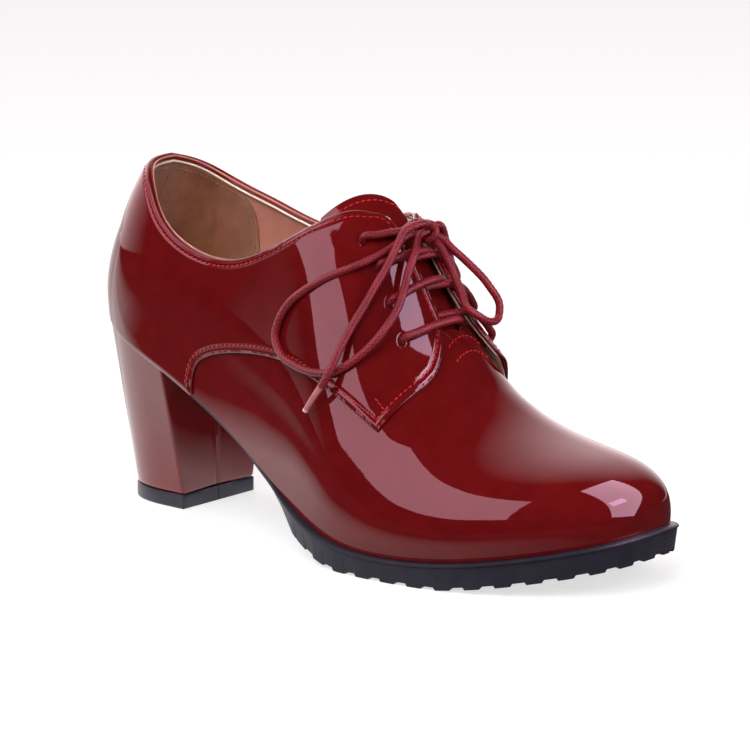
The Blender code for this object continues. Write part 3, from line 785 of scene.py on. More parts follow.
def _edge_distance(places: Array, loop: Array) -> tuple[Array, Array, Array]:
    """Distance to a closed outline, the nearest place on it and the index of its edge."""
    ahead = np.roll(loop, -1, 0) - loop
    size = np.maximum(np.sum(ahead * ahead, 1), TINY)
    distance, nearest = np.empty(len(places)), np.empty_like(places)
    index = np.empty(len(places), int)
    for low in range(0, len(places), DISTANCE_BATCH):
        batch = slice(low, low + DISTANCE_BATCH)
        part = places[batch]
        away = part[:, None] - loop[None]
        u = np.clip(np.sum(away * ahead, -1) / size, 0, 1)
        gap = away - ahead * u[..., None]
        found = np.sum(gap * gap, -1)
        best = found.argmin(1)
        rows = np.arange(len(part))
        index[batch] = best
        distance[batch] = np.sqrt(found[rows, best])
        nearest[batch] = part - gap[rows, best]
    return distance, nearest, index


class Nodes:
    """Short way to fill one node tree."""

    def __init__(self, tree: bpy.types.NodeTree) -> None:
        """Keeps the tree."""
        self.tree = tree

    def add(self, kind: str, values: dict | None = None, **settings: object) -> bpy.types.Node:
        """Adds a node.

        Args:
            kind: The node's type name.
            values: Input name or index to a constant or to an output socket that feeds it.
            **settings: Properties of the node itself.

        Returns:
            The new node.
        """
        node = self.tree.nodes.new(kind)
        for name, value in settings.items():
            setattr(node, name, value)
        for name, value in (values or {}).items():
            if isinstance(value, bpy.types.NodeSocket):
                self.tree.links.new(value, node.inputs[name])
            else:
                node.inputs[name].default_value = value
        return node

    def maths(self, operation: str, a: object, b: object = 0.0) -> bpy.types.NodeSocket:
        """Adds a Math node and gives its output."""
        return self.add("ShaderNodeMath", {0: a, 1: b}, operation=operation).outputs[0]

    def ramp(self, value: object, low: float, high: float, top: float = 1.0,
             start: float = 0.0) -> bpy.types.NodeSocket:
        """Adds a level that climbs from `start` at `low` to `top` at `high`."""
        values = {"Value": value, 1: low, 2: high, 3: start, 4: top}
        return self.add("ShaderNodeMapRange", values).outputs[0]

    def mix(self, kind: str, share: object, low: object, high: object) -> bpy.types.NodeSocket:
        """Adds a mix of two levels (FLOAT) or of two colours (RGBA) and gives its output."""
        first, out = {"FLOAT": (2, 0), "RGBA": (6, 2)}[kind]
        values = {0: share, first: low, first + 1: high}
        return self.add("ShaderNodeMix", values, data_type=kind).outputs[out]

    def along(self, place: object, direction: Vector) -> bpy.types.NodeSocket:
        """Adds the measure of a place along a direction."""
        values = {0: place, 1: direction}
        return self.add("ShaderNodeVectorMath", values, operation="DOT_PRODUCT").outputs["Value"]


def grain_group() -> bpy.types.NodeTree:
    """The shared surface of leather, suede and rubber: fine grain over a broad swell."""
    found = bpy.data.node_groups.get("surface_grain")
    if found:
        return found
    tree = bpy.data.node_groups.new("surface_grain", "ShaderNodeTree")
    for name, start in (("Size", 900.0), ("Grain", 0.01), ("Swell Size", 60.0), ("Swell", 0.1)):
        socket = tree.interface.new_socket(name, in_out="INPUT", socket_type="NodeSocketFloat")
        socket.default_value = start
    for name in ("Height", "Mask"):
        tree.interface.new_socket(name, in_out="OUTPUT", socket_type="NodeSocketFloat")
    nodes = Nodes(tree)
    given = nodes.add("NodeGroupInput").outputs
    place = nodes.add("ShaderNodeTexCoord").outputs["Object"]
    fine = nodes.add("ShaderNodeTexNoise", {"Vector": place, "Scale": given["Size"], "Detail": 3.0})
    broad = nodes.add("ShaderNodeTexNoise", {"Vector": place, "Scale": given["Swell Size"], "Detail": 1.0})
    height = nodes.maths(
        "ADD",
        nodes.maths("MULTIPLY", fine.outputs[0], given["Grain"]),
        nodes.maths("MULTIPLY", broad.outputs[0], given["Swell"]),
    )
    patches = nodes.add("ShaderNodeTexNoise", {"Vector": place, "Scale": 140.0, "Detail": 4.0})
    nodes.add("NodeGroupOutput", {"Height": height, "Mask": patches.outputs[0]})
    return tree


@dataclass(frozen=True)
class Finish:
    """A surface: its two colours, gloss and grain."""

    name: str
    colour: tuple[float, float, float]
    shade: tuple[float, float, float]
    roughness: float
    size: float = 900.0
    grain: float = 0.01
    swell_size: float = 60.0
    swell: float = 0.0
    sheen: float = 0.0
    mask_from: float = 0.35
    mask_to: float = 0.65
    specular: float = 0.5

    def material(self) -> bpy.types.Material:
        """The finish as a material, made once."""
        found = bpy.data.materials.get(self.name)
        if found:
            return found
        made = bpy.data.materials.new(self.name)
        made.use_nodes = True
        nodes = Nodes(made.node_tree)
        shader = made.node_tree.nodes["Principled BSDF"]
        grain = nodes.add("ShaderNodeGroup", node_tree=grain_group())
        sizes = (self.size, self.grain, self.swell_size, self.swell)
        for name, value in zip(("Size", "Grain", "Swell Size", "Swell"), sizes):
            grain.inputs[name].default_value = value
        spread = nodes.ramp(grain.outputs["Mask"], self.mask_from, self.mask_to)
        mixed = nodes.mix("RGBA", spread, (*self.colour, 1.0), (*self.shade, 1.0))
        bump = nodes.add("ShaderNodeBump", {"Height": grain.outputs["Height"], "Distance": MM})
        made.node_tree.links.new(self._colour(nodes, mixed), shader.inputs["Base Color"])
        made.node_tree.links.new(bump.outputs[0], shader.inputs["Normal"])
        shader.inputs["Roughness"].default_value = self.roughness
        shader.inputs["Sheen Weight"].default_value = self.sheen
        shader.inputs["Specular IOR Level"].default_value = self.specular
        return made

    def _colour(self, nodes: Nodes, plain: bpy.types.NodeSocket) -> bpy.types.NodeSocket:
        """The colour over the surface, for a finish that adds to it."""
        return plain


@dataclass(frozen=True)
class CordFinish(Finish):
    """Braided cord, with painted shade between its strands."""

    # painted shade: the dark colour laid into the braid's valleys, where shade falls between the strands
    valley: tuple[float, float, float] = (0.07, 0.003, 0.006)
    painted_shade_end: float = 0.15
    crest_start: float = 0.85

    def _colour(self, nodes: Nodes, plain: bpy.types.NodeSocket) -> bpy.types.NodeSocket:
        """Paints shade into the valleys of the braid, by the relief stored on the mesh."""
        relief = nodes.add("ShaderNodeAttribute", attribute_name="relief").outputs["Fac"]
        spread = nodes.ramp(relief, self.painted_shade_end, self.crest_start)
        return nodes.mix("RGBA", spread, (*self.valley, 1.0), plain)


PATENT = Finish(
    "patent_leather", (0.150, 0.0046, 0.0058), (0.128, 0.0034, 0.0046), 0.032,
    size=700.0, grain=0.004, swell_size=48.0, swell=0.10,
)
LINING = Finish(
    "lining_leather", (0.56, 0.23, 0.17), (0.50, 0.20, 0.145), 0.55,
    size=1500.0, grain=0.12, swell_size=90.0, swell=0.2,
)
SUEDE = Finish(
    "suede_grip", (0.310, 0.106, 0.044), (0.215, 0.068, 0.027), 0.95,
    size=2600.0, grain=0.30, swell_size=160.0, swell=0.25, sheen=0.35, mask_from=0.3, mask_to=0.7,
)
CREAM = Finish(
    "cream_edge", (0.92, 0.78, 0.64), (0.86, 0.68, 0.52), 0.6, size=1800.0, grain=0.1,
)
RUBBER = Finish(
    "black_rubber", (0.0250, 0.0235, 0.0370), (0.0185, 0.0172, 0.0280), 0.38,
    size=2200.0, grain=0.05, swell_size=70.0, swell=0.06, specular=0.25,
)
THREAD = Finish(
    "red_thread", (0.62, 0.006, 0.008), (0.40, 0.004, 0.006), 0.45, size=3200.0, grain=0.12,
)
TAN_THREAD = Finish(
    "tan_thread", (0.30, 0.19, 0.12), (0.16, 0.09, 0.06), 0.6, size=3200.0, grain=0.12,
)
# the cord's braid valleys take the painted shade of CordFinish
CORD = CordFinish(
    "waxed_cord", (0.33, 0.014, 0.026), (0.24, 0.008, 0.016), 0.34,
    size=4200.0, grain=0.16, mask_from=0.4, mask_to=0.6,
)
TIP = Finish(
    "lace_tip", (0.62, 0.22, 0.25), (0.55, 0.16, 0.19), 0.16, size=900.0, grain=0.02,
)
TIP_END = Finish(
    "lace_tip_end", (0.86, 0.74, 0.74), (0.80, 0.62, 0.62), 0.3, size=900.0, grain=0.02,
)


@dataclass
class StitchRow:
    """A line of stitches: places along it, the surface's normals there and the pitch."""

    points: Array
    normals: Array
    pitch: float
    slant: float = 7.0

    def places(self) -> tuple[Array, Array, Array]:
        """Middles, runs and normals of the stitches."""
        reach = run_lengths(self.points)
        count = max(1, int(reach[-1] // self.pitch))
        at = (np.arange(count) + 0.5) * reach[-1] / count
        run = np.gradient(self.points, axis=0)
        middle, run, up = (read_along(at, reach, v) for v in (self.points, run, self.normals))
        run, up = unit(run), unit(up)
        slant = np.cross(up, run) * math.tan(math.radians(self.slant))
        return middle, unit(run + slant), up


@dataclass
class Stitching:
    """All stitches of one thread, laid by a node tree on the places of its rows."""

    name: str
    finish: Finish
    length: float = 1.9
    width: float = 0.62
    rows: list[StitchRow] = field(default_factory=list)

    def _tree(self) -> bpy.types.NodeTree:
        """Instances one small tapered stitch on every point, turned along its run."""
        tree = bpy.data.node_groups.new(f"{self.name}_laying", "GeometryNodeTree")
        tree.interface.new_socket("Geometry", in_out="INPUT", socket_type="NodeSocketGeometry")
        for name in ("Length", "Width"):
            tree.interface.new_socket(name, in_out="INPUT", socket_type="NodeSocketFloat")
        tree.interface.new_socket("Geometry", in_out="OUTPUT", socket_type="NodeSocketGeometry")
        nodes = Nodes(tree)
        given = nodes.add("NodeGroupInput").outputs
        scale = nodes.add(
            "ShaderNodeCombineXYZ", {0: given["Length"], 1: given["Width"], 2: given["Width"]}
        )
        bead = nodes.add("GeometryNodeMeshUVSphere", {"Segments": 8, "Rings": 6, "Radius": 0.5})
        shaped = nodes.add(
            "GeometryNodeTransform", {"Geometry": bead.outputs["Mesh"], "Scale": scale.outputs[0]}
        )
        run = nodes.add("GeometryNodeInputNamedAttribute", {"Name": "run"}, data_type="FLOAT_VECTOR")
        up = nodes.add("GeometryNodeInputNamedAttribute", {"Name": "up"}, data_type="FLOAT_VECTOR")
        turn = nodes.add(
            "FunctionNodeAxesToRotation",
            {"Primary Axis": run.outputs[0], "Secondary Axis": up.outputs[0]},
            primary_axis="X",
            secondary_axis="Z",
        )
        laid = nodes.add(
            "GeometryNodeInstanceOnPoints",
            {"Points": given["Geometry"], "Instance": shaped.outputs[0], "Rotation": turn.outputs[0]},
        )
        real = nodes.add("GeometryNodeRealizeInstances", {0: laid.outputs[0]})
        smooth = nodes.add("GeometryNodeSetShadeSmooth", {0: real.outputs[0]})
        dressed = nodes.add(
            "GeometryNodeSetMaterial", {0: smooth.outputs[0], "Material": self.finish.material()}
        )
        nodes.add("NodeGroupOutput", {0: dressed.outputs[0]})
        return tree

    def build(self, slot: str) -> bpy.types.Object:
        """Lays the stitches and turns them into one plain mesh."""
        laid = [row.places() for row in self.rows]
        middle, run, up = (np.concatenate(part) for part in zip(*laid))
        mesh = bpy.data.meshes.new(f"{self.name}_places")
        mesh.from_pydata(to_row(middle).tolist(), [], [])
        for name, values in (("run", run), ("up", up)):
            keep_values(mesh, name, values)
        holder = bpy.data.objects.new(f"{self.name}_places", mesh)
        bpy.context.scene.collection.objects.link(holder)
        modifier = holder.modifiers.new("laying", "NODES")
        tree = self._tree()
        modifier.node_group = tree
        sizes = {"Length": self.length * MM, "Width": self.width * MM}
        for item in tree.interface.items_tree:
            if item.in_out == "INPUT" and item.name in sizes:
                modifier[item.identifier] = sizes[item.name]
        bpy.context.view_layer.update()
        evaluated = holder.evaluated_get(bpy.context.evaluated_depsgraph_get())
        plain = bpy.data.meshes.new_from_object(evaluated)
        plain.name = self.name
        bpy.data.objects.remove(holder)
        return seat(bpy.data.objects.new(self.name, plain), slot)


BORDERS = {
    "first": (np.s_[0], np.s_[1]),
    "last": (np.s_[-1], np.s_[-2]),
    "left": (np.s_[:, 0], np.s_[:, 1]),
    "right": (np.s_[:, -1], np.s_[:, -2]),
}
SLAB_RIM_STEPS = 5


def round_over(made: Shell, faces: tuple[Array, Array], normals: Array, out: Array,
               steps: int) -> list[Array]:
    """Rounds an edge over from its outer to its under side.

    Args:
        made: The shell that takes the new points.
        faces: The edge on the outer and on the under face.
        normals: Outward normals along the edge.
        out: Directions that lead out of the sheet.
        steps: Steps from face to face.

    Returns:
        Indices of the rows of points between the two faces.
    """
    high, low = faces
    out = unit(out - normals * np.sum(out * normals, -1, keepdims=True))
    middle, half = (high + low) / 2, np.linalg.norm(high - low, axis=-1, keepdims=True) / 2
    rows = []
    for angle in np.linspace(0, math.pi, steps + 1)[1:-1]:
        facing = normals * math.cos(angle) + out * math.sin(angle)
        rows.append(made.add(middle + facing * half, facing))
    return rows


def slab(made: Shell, outer: Array, inner: Array, normals: Array, under: int = 0,
         rims: Sequence[str] = tuple(BORDERS)) -> None:
    """A sheet with thickness from two grids of points.

    Args:
        made: The shell that takes the sheet.
        outer: Grid of the outer face.
        inner: Grid of the inner face.
        normals: Outward normals of the outer face.
        under: Material index of the inner face.
        rims: Borders to close: first and last row, left and right column.
    """
    top = made.add(outer, normals)
    low = made.add(inner, -normals)
    made.quads(top)
    made.quads(low, under)
    for cut, inside in (BORDERS[name] for name in rims):
        out = outer[cut] - outer[inside]
        rows = round_over(made, (outer[cut], inner[cut]), normals[cut], out, SLAB_RIM_STEPS)
        made.quads(np.array([top[cut], *rows, low[cut]]))


def sweep(made: Shell, path: Array, frames: tuple[Array, Array], profile: Array, scale: Array) -> None:
    """A closed profile carried along a path, capped at both ends.

    Args:
        made: The shell that takes it.
        path: Places along the path.
        frames: The profile's two axes at each place.
        profile: Closed outline of the profile, first point not repeated.
        scale: Size of the profile at each place.
    """
    first, second = frames
    across = first[:, None] * profile[None, :, :1] + second[:, None] * profile[None, :, 1:]
    made.closed(path[:, None] + across * scale[:, None, None], unit(across))


def round_profile(width: float, height: float, sides: int) -> Array:
    """An oval outline."""
    turn = np.linspace(0, 2 * math.pi, sides, endpoint=False)
    return np.stack([np.cos(turn) * width, np.sin(turn) * height], 1)


def between(low: Array, high: Array, count: int) -> Array:
    """Grid of values from low to high, one row for each pair."""
    return low[:, None] + (high - low)[:, None] * np.linspace(0, 1, count)[None, :]


def round_corner(first: Array, second: Array, radius: float) -> tuple[Array, Array]:
    """Rounds the corner where two runs of an outline meet, half the bend going to each."""
    a, b = first * Panel.plane, second * Panel.plane
    back, ahead = run_lengths(a[::-1]), run_lengths(b)
    start, end = read_along(radius, back, a[::-1]), read_along(radius, ahead, b)
    half = 6
    bend = turn_corner(start, a[-1], end, 2 * half + 1)
    left = np.concatenate([a[back[::-1] > radius], bend[: half + 1]])
    right = np.concatenate([bend[half:], b[ahead > radius]])
    return left / Panel.plane, right / Panel.plane


def circle_on(skin: Skin, place: Array, radius: float, count: int = 26) -> Array:
    """A round outline of a radius in millimetres on a surface, in s and t."""
    along, up = skin.slopes(place[:1], place[1:])
    turn = np.linspace(0, 2 * math.pi, count, endpoint=False)
    ds = radius * np.cos(turn) / np.linalg.norm(along)
    dt = radius * np.sin(turn) / np.linalg.norm(up)
    return place + np.stack([ds, dt], 1)


@dataclass
class Vamp:
    """The forepart of the upper: wings under the quarters, closed over the toe."""

    thickness: float = 0.8
    back: float = 0.212
    columns: int = 64
    heel_height: float = 0.10
    lap: float = 0.16
    throat_from: float = 0.558
    toe_share: float = 0.045
    toe_power: float = 1.7
    wave_fade: tuple = (0.45, 0.85)
    throat_rows: tuple = (0.5795, 0.5925)
    row_bow: float = 0.004
    pitch: float = 2.2
    thread_lift: float = 0.08
    flex: tuple = ((0.628, -0.10, 0.010), (0.652, 0.07, 0.012))

    def wing_top(self, s: Array) -> Array:
        """t up to which the wing runs, hidden by the quarter and rising to the throat."""
        lapped = curve_value(PATTERN.lower_edge, s) + self.lap
        hidden = np.where(s < PATTERN.wing_back, self.heel_height, lapped)
        return hidden + (1 - hidden) * ease(s, self.throat_from, PATTERN.throat_end)

    def height(self, s: Array, t: Array) -> Array:
        """Soft waves where the forepart bends, fading out down the sides."""
        s, t = np.broadcast_arrays(s, t)
        waves = sum(h * np.exp(-(((s - at) / width) ** 2)) for at, h, width in self.flex)
        return waves * ease(t, *self.wave_fade)

    def grids(self, top: Callable[[Array, int], Array]) -> list[tuple[Array, Array, int]]:
        """Grids of s and t for both wings and the forepart, sides in turn."""
        wing = np.linspace(self.back, PATTERN.throat_end, 110)
        toe = np.concatenate([
            np.linspace(PATTERN.throat_end, 1 - self.toe_share, 120),
            1 - self.toe_share * np.linspace(1, 0, 50)[1:] ** self.toe_power,
        ])
        made = []
        for side in SIDES:
            for s, high in ((wing, top(wing, side)), (toe, np.ones(len(toe)))):
                t = between(np.zeros(len(s)), high, self.columns)
                made.append((np.broadcast_to(s[:, None], t.shape), t, side))
        return made

    def build(self) -> list[StitchRow]:
        """The vamp's leather. Gives the stitch rows across its throat."""
        made = Shell()
        for i, (s, t, side) in enumerate(self.grids(lambda s, side: self.wing_top(s))):
            skin = Skin(side, self.height)
            outer, normals = skin.point(s, t), skin.normal(s, t)
            if i % 2:
                normals[-1] = unit(normals[-3].mean(0) * (1, 0.6, 0.6))
            inner = outer - LAST.normal(s, t, side) * self.thickness
            slab(made, outer, inner, normals, rims=("left",) if i % 2 else ("first", "left", "right"))
        piece = made.build("vamp", [PATENT.material()], "patent")
        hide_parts("upper")
        return [self.throat_row(at) for at in self.throat_rows]

    def throat_row(self, at: float, reach: float = 9.5) -> StitchRow:
        """A stitch row across the throat at a share along the last."""
        arcs = np.linspace(-reach, reach, 40)
        points, normals = [], []
        for arc in arcs:
            side = -1 if arc < 0 else 1
            s = np.array([at + self.row_bow * (arc / reach) ** 2])
            t = LAST.share_at_arc(s, side, abs(arc))
            points.append(LAST.lifted(s, t, side, self.thread_lift)[0])
            normals.append(LAST.normal(s, t, side)[0])
        return StitchRow(np.array(points), np.array(normals), self.pitch)


@dataclass
class Quarter:
    """One quarter with its facing, lapped over the vamp and punched for the lace."""

    side: Side
    thickness: float = 1.35
    top: float = 1.5
    margin: float = 2.4
    collar_margin: float = 1.6
    collar_drop: float = 0.95
    corner: float = 7.0
    back_seam: float = 0.0006
    bulges: tuple = (
        (0.4400, 0.5560, 1.75, 15.0),
        (0.4870, 0.5290, 0.22, 4.0),
        (0.5080, 0.5070, 0.26, 4.6),
    )
    bulge_fade: tuple = (0.56, 0.70)
    pitch: float = 2.3
    tack: tuple = ((0.5775, 0.472), (0.5560, 0.462))
    tack_pitch: float = 1.7
    lining_lift: float = 0.08
    lining_thickness: float = 0.75
    lining_top: tuple = (0.590, 0.462)
    lining_low: tuple = (0.462, 0.585)
    lining_arc: float = 34.0
    lining_inset: float = 0.006
    lining_hole: float = 2.2

    def __post_init__(self) -> None:
        """Works out the outline."""
        sign = self.side.value
        self.skin = Skin(sign, lambda s, t: PATTERN.flap_lift(s, t, sign) + self.top + self.bend(s, t))
        seat_s = np.linspace(self.back_seam, PATTERN.wing_back, 60)
        lapped = bspline(PATTERN.lower_edge, np.linspace(0, 1, 120))
        front_low = bspline(PATTERN.front_low, np.linspace(0, 1, 40))
        high_s = np.linspace(PATTERN.quarter_tip - 0.0004, PATTERN.front_top, 40)
        share = curve_value(PATTERN.front_high, high_s)
        front_high = np.stack([high_s, PATTERN.top_share(high_s, sign) * share], 1)
        facing_s = np.linspace(PATTERN.front_top, PATTERN.collar_end, 40)
        facing = np.stack([facing_s, PATTERN.facing_share(facing_s, sign)], 1)
        collar_s = np.concatenate([
            np.linspace(PATTERN.collar_end, 0.05, 140), np.linspace(0.05, self.back_seam, 40)[1:],
        ])
        collar = np.stack([collar_s, PATTERN.top_share(collar_s, sign, self.collar_drop)], 1)
        front = np.concatenate([front_low[:-1], front_high[:-1], facing])
        front, collar = round_corner(front, collar, self.corner)
        back = np.array([[self.back_seam, collar[-1, 1]], [self.back_seam, 0.0]])
        self.edges = [
            Edge(np.stack([seat_s, np.zeros(len(seat_s))], 1)),
            Edge(lapped, self.margin),
            Edge(front, self.margin),
            Edge(collar, self.collar_margin),
            Edge(back),
        ]

    def bend(self, s: Array, t: Array) -> Array:
        """Height of the soft bulges where the outer quarter turns on to the instep."""
        s, t = np.broadcast_arrays(s, t)
        height = np.zeros(s.shape)
        for at, up, rise, width in self.bulges if self.side is Side.OUTER else ():
            away = (np.stack([s, t], -1) - (at, up)) * Panel.plane / width
            height = height + rise * np.exp(-np.sum(away * away, -1))
        return height * (1 - ease(t, *self.bulge_fade))

    def holes(self, radius: float, skin: Skin | None = None) -> list[Array]:
        """Outlines of the punched eyelets."""
        places = PATTERN.eyelet_places(self.side.value)
        return [circle_on(skin or self.skin, place, radius) for place in places]

    def build(self) -> list[StitchRow]:
        """The quarter's leather. Gives its stitch rows."""
        panel = Panel(self.skin, self.edges, self.thickness, self.holes(PATTERN.eyelet_radius))
        name = self.side.name.lower()
        piece = panel.shell().build(f"quarter_{name}_leather", [PATENT.material()], "patent")
        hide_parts(f"quarter_{name}")
        rows = [panel.stitch_row(i, self.pitch) for i, edge in enumerate(self.edges) if edge.margin]
        points, normals = panel.lay(np.linspace(*self.tack, 12) * Panel.plane)
        rows.append(StitchRow(points + normals * Panel.thread_lift, normals, self.tack_pitch))
        return rows

    def facing_lining(self) -> bpy.types.Object:
        """The cream lining under the facing, whose raw edge shows beside the throat."""
        sign = self.side.value
        skin = Skin(sign, lambda s, t: PATTERN.flap_lift(s, t, sign) + self.lining_lift)
        top_s = np.linspace(*self.lining_top, 70)
        share = np.where(top_s > PATTERN.front_top, curve_value(PATTERN.front_high, top_s), 1.0)
        top = np.stack([top_s, PATTERN.top_share(top_s, sign) * share - self.lining_inset], 1)
        low_s = np.array(self.lining_low)
        low = np.stack([low_s, LAST.share_at_arc(low_s, sign, self.lining_arc)], 1)
        edges = [
            Edge(top),
            Edge(np.stack([top[-1], low[0]])),
            Edge(low),
            Edge(np.stack([low[1], top[0]])),
        ]
        holes = self.holes(self.lining_hole, skin)
        panel = Panel(skin, edges, self.lining_thickness, holes, step=2.4, groove=0.0)
        return panel.shell().build(f"facing_lining_{self.side.name.lower()}", [CREAM.material()], "lining")


@dataclass
class Collar:
    """The rolled binding round the top, with the lining's cream edge inside it."""

    front: float = 0.468
    back: float = 0.06
    strips: tuple = ((1.0, 0.15, 1.15, 1.15), (1.05, -1.2, 0.62, 1.0))
    cream: tuple = (2.15, -1.72, 0.50, 0.48)
    end_size: float = 0.35
    end_reach: float = 9.0

    def path(self, drop: float, lift: float) -> tuple[Array, tuple[Array, Array]]:
        """Places along the collar, outer side first, with outward and upward directions there."""
        points, normals = [], []
        s = np.concatenate([np.linspace(self.front, self.back, 170), np.linspace(self.back, 0.0, 60)[1:]])
        for side in SIDES:
            t = PATTERN.top_share(s, side)
            skin = Skin(side, lambda a, b: np.full(np.broadcast(a, b).shape, lift))
            along, up = skin.slopes(s, t)
            order = slice(None) if side < 0 else slice(-2, None, -1)
            points.append((skin.point(s, t) - unit(up) * drop)[order])
            normals.append(unit(np.cross(along, up) * -side)[order])
        points = np.concatenate(points)
        run = unit(np.gradient(points, axis=0))
        normals = np.concatenate(normals)
        normals = unit(normals - run * np.sum(normals * run, 1, keepdims=True))
        return points, (normals, np.cross(run, normals))

    def build(self) -> list[bpy.types.Object]:
        """The binding and the cream edge."""
        bead, edge = Shell(), Shell()
        for drop, lift, width, height in self.strips:
            path, axes = self.path(drop, lift)
            reach = run_lengths(path)
            ends = np.minimum(reach, reach[-1] - reach)
            scale = self.end_size + (1 - self.end_size) * ease(ends, 0.0, self.end_reach)
            sweep(bead, path, axes, round_profile(width, height, 20), scale)
        drop, lift, width, height = self.cream
        path, axes = self.path(drop, lift)
        sweep(edge, path, axes, round_profile(width, height, 10), np.ones(len(path)))
        return [
            bead.build("collar_binding", [PATENT.material()], "patent"),
            edge.build("lining_edge", [CREAM.material()], "lining"),
        ]


@dataclass
class Lining:
    """The lining inside the wall, the suede heel grip and the sock."""

    outer: float = -0.85
    inner: float = -1.5
    facing_arc: float = 31.0
    facing_from: tuple = (0.452, 0.466)
    grip_front: float = 0.178
    grip_low: float = 0.05
    grip_bow: float = 0.004
    grip_gap: float = 0.02
    grip_sink: float = 0.75
    grip_drop: float = 2.9
    grip_corner: float = 11.0
    grip_thickness: float = 0.6
    grip_rows: tuple = ((1, 2.2), (1, 4.4), (2, 1.6))
    grip_pitch: float = 2.4
    sock_inset: float = 2.1
    sock_height: float = 2.0
    sock_dish: float = 0.45
    rows: list[StitchRow] = field(default_factory=list)

    def top(self, s: Array, side: int) -> Array:
        """t up to which the lining runs: the collar, then under the facing's own lining."""
        facing = LAST.share_at_arc(s, side, self.facing_arc)
        whole = PATTERN.top_share(s, side)
        return whole + (np.minimum(facing, whole) - whole) * ease(s, *self.facing_from)

    def build(self) -> list[bpy.types.Object]:
        """The lining and the heel grip."""
        made = Shell()
        cut = Vamp(back=0.0, columns=44)
        for i, (s, t, side) in enumerate(cut.grids(self.top)):
            normals = LAST.normal(s, t, side)
            limited = np.minimum(s, LAST.normal_limit)
            outer = LAST.lifted(limited, t, side, self.outer)
            inner = LAST.lifted(limited, t, side, self.inner)
            slab(made, outer, inner, normals, rims=("left", "last" if i % 2 else "right"))
        lining = made.build("lining", [LINING.material()], "lining")
        return [lining, self.grip()]

    def grip(self) -> bpy.types.Object:
        """The suede pad that holds the heel, one panel on each side of the back seam."""
        whole = Shell()
        for side in SIDES:
            skin = Skin(side, lambda s, t: np.full(np.broadcast(s, t).shape, self.inner - self.grip_gap))
            t = np.linspace(0.04, 1.0, 30)
            top_s = np.linspace(self.grip_front, 0.0004, 50)
            top = np.stack([top_s, PATTERN.top_share(top_s, side, self.grip_drop)], 1)
            low = np.stack([top_s[::-1], np.full(len(top_s), self.grip_low)], 1)
            front = np.stack([
                self.grip_front + self.grip_bow * np.sin(math.pi * t),
                self.grip_low + (top[0, 1] - self.grip_low) * t,
            ], 1)
            front[0], front[-1] = low[-1], top[0]
            front, top = round_corner(front, top, self.grip_corner)
            edges = [Edge(run) for run in (low, front, top, np.array([top[-1], low[0]]))]
            panel = Panel(skin, edges, self.grip_thickness, step=2.2, groove=0.0)
            whole.join(panel.shell())
            for edge, offset in self.grip_rows:
                row = panel.stitch_row(edge, self.grip_pitch, offset)
                inside = row.points - row.normals * self.grip_sink
                self.rows.append(StitchRow(inside, -row.normals, self.grip_pitch))
        return whole.build("heel_grip", [SUEDE.material()], "lining")

    def sock(self) -> bpy.types.Object:
        """The sock on the insole, slightly dished, with a rounded edge."""
        s = np.concatenate([np.linspace(0.006, 0.05, 16), np.linspace(0.05, 0.958, 110)[1:]])
        left, right = (LAST.feather(s, side, -self.sock_inset) for side in SIDES)
        u = np.linspace(0, 1, 33)
        grid = left[:, None] * (1 - u)[None, :, None] + right[:, None] * u[None, :, None]
        edge = np.minimum(u, 1 - u)
        foot = LAST.section(s)["foot"]
        dish = self.sock_dish * ease(edge, 0.0, 0.25)
        top, low = grid.copy(), grid.copy()
        top[..., 2] = foot[:, None] + self.sock_height - dish[None, :]
        low[..., 2] = foot[:, None] + 0.1
        made = Shell()
        slope = np.gradient(foot, grid[:, 16, 0])
        up = unit(np.stack([-slope, np.zeros(len(s)), np.ones(len(s))], 1))
        slab(made, top, low, np.broadcast_to(up[:, None], top.shape).copy())
        piece = made.build("sock", [LINING.material()], "lining")
        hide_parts("insole")
        return piece


@dataclass
class Tongue:
    """The tongue under the facings, lined, with one stitch row round its top."""

    depth: float = 2.3
    thickness: float = 1.5
    top: float = 0.457
    foot: float = 0.602
    arc: float = 30.0
    corner: float = 0.0611
    turn: float = 0.030
    margin: float = 0.0085
    columns: int = 91
    row_out: float = -0.90
    row_end: float = 0.03
    row_foot: float = 0.50
    row_corner: float = 0.012
    pitch: float = 2.3
    thread_lift: float = 0.08
    edge_power: float = 0.9
    turn_reach: float = 0.15

    def edge(self, share: Array) -> Array:
        """s of the top edge at shares across, from the outer side to the inner."""
        outer = self.top - self.corner * np.abs(share) ** self.edge_power
        return np.where(share < 0, outer, self.top + self.turn * ease(share, 0.0, self.turn_reach))

    def place(self, share: Array, s: Array, depth: float) -> tuple[Array, Array]:
        """Points and normals of the tongue at shares across it and along the last."""
        points, normals = np.empty((*share.shape, 3)), np.empty((*share.shape, 3))
        for side in SIDES:
            pick = share < 0 if side < 0 else share >= 0
            t = LAST.share_at_arc(s[pick], side, np.abs(share[pick]) * self.arc)
            points[pick] = LAST.lifted(s[pick], t, side, -depth)
            normals[pick] = LAST.normal(s[pick], t, side)
        return points, normals

    def build(self) -> list[StitchRow]:
        """The tongue's leather. Gives its stitch row."""
        share, rise = np.meshgrid(np.linspace(-1, 1, self.columns), np.linspace(0, 1, 70), indexing="ij")
        s = self.foot + (self.edge(share) - self.foot) * rise
        outer, normals = self.place(share, s, self.depth)
        inner, _ = self.place(share, s, self.depth + self.thickness)
        made = Shell()
        slab(made, outer, inner, normals, under=1)
        piece = made.build("tongue_leather", [PATENT.material(), LINING.material()], "patent")
        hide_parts("tongue")
        across = np.linspace(self.row_out, self.row_end, 60)
        up = np.linspace(self.row_foot, self.edge(across[:1])[0] + self.row_corner, 20)
        row_share = np.concatenate([np.full(len(up), self.row_out), across])
        row_s = np.concatenate([up, self.edge(across) + self.margin])
        points, normals = self.place(row_share, row_s, self.depth)
        return [StitchRow(points + normals * self.thread_lift, normals, self.pitch)]


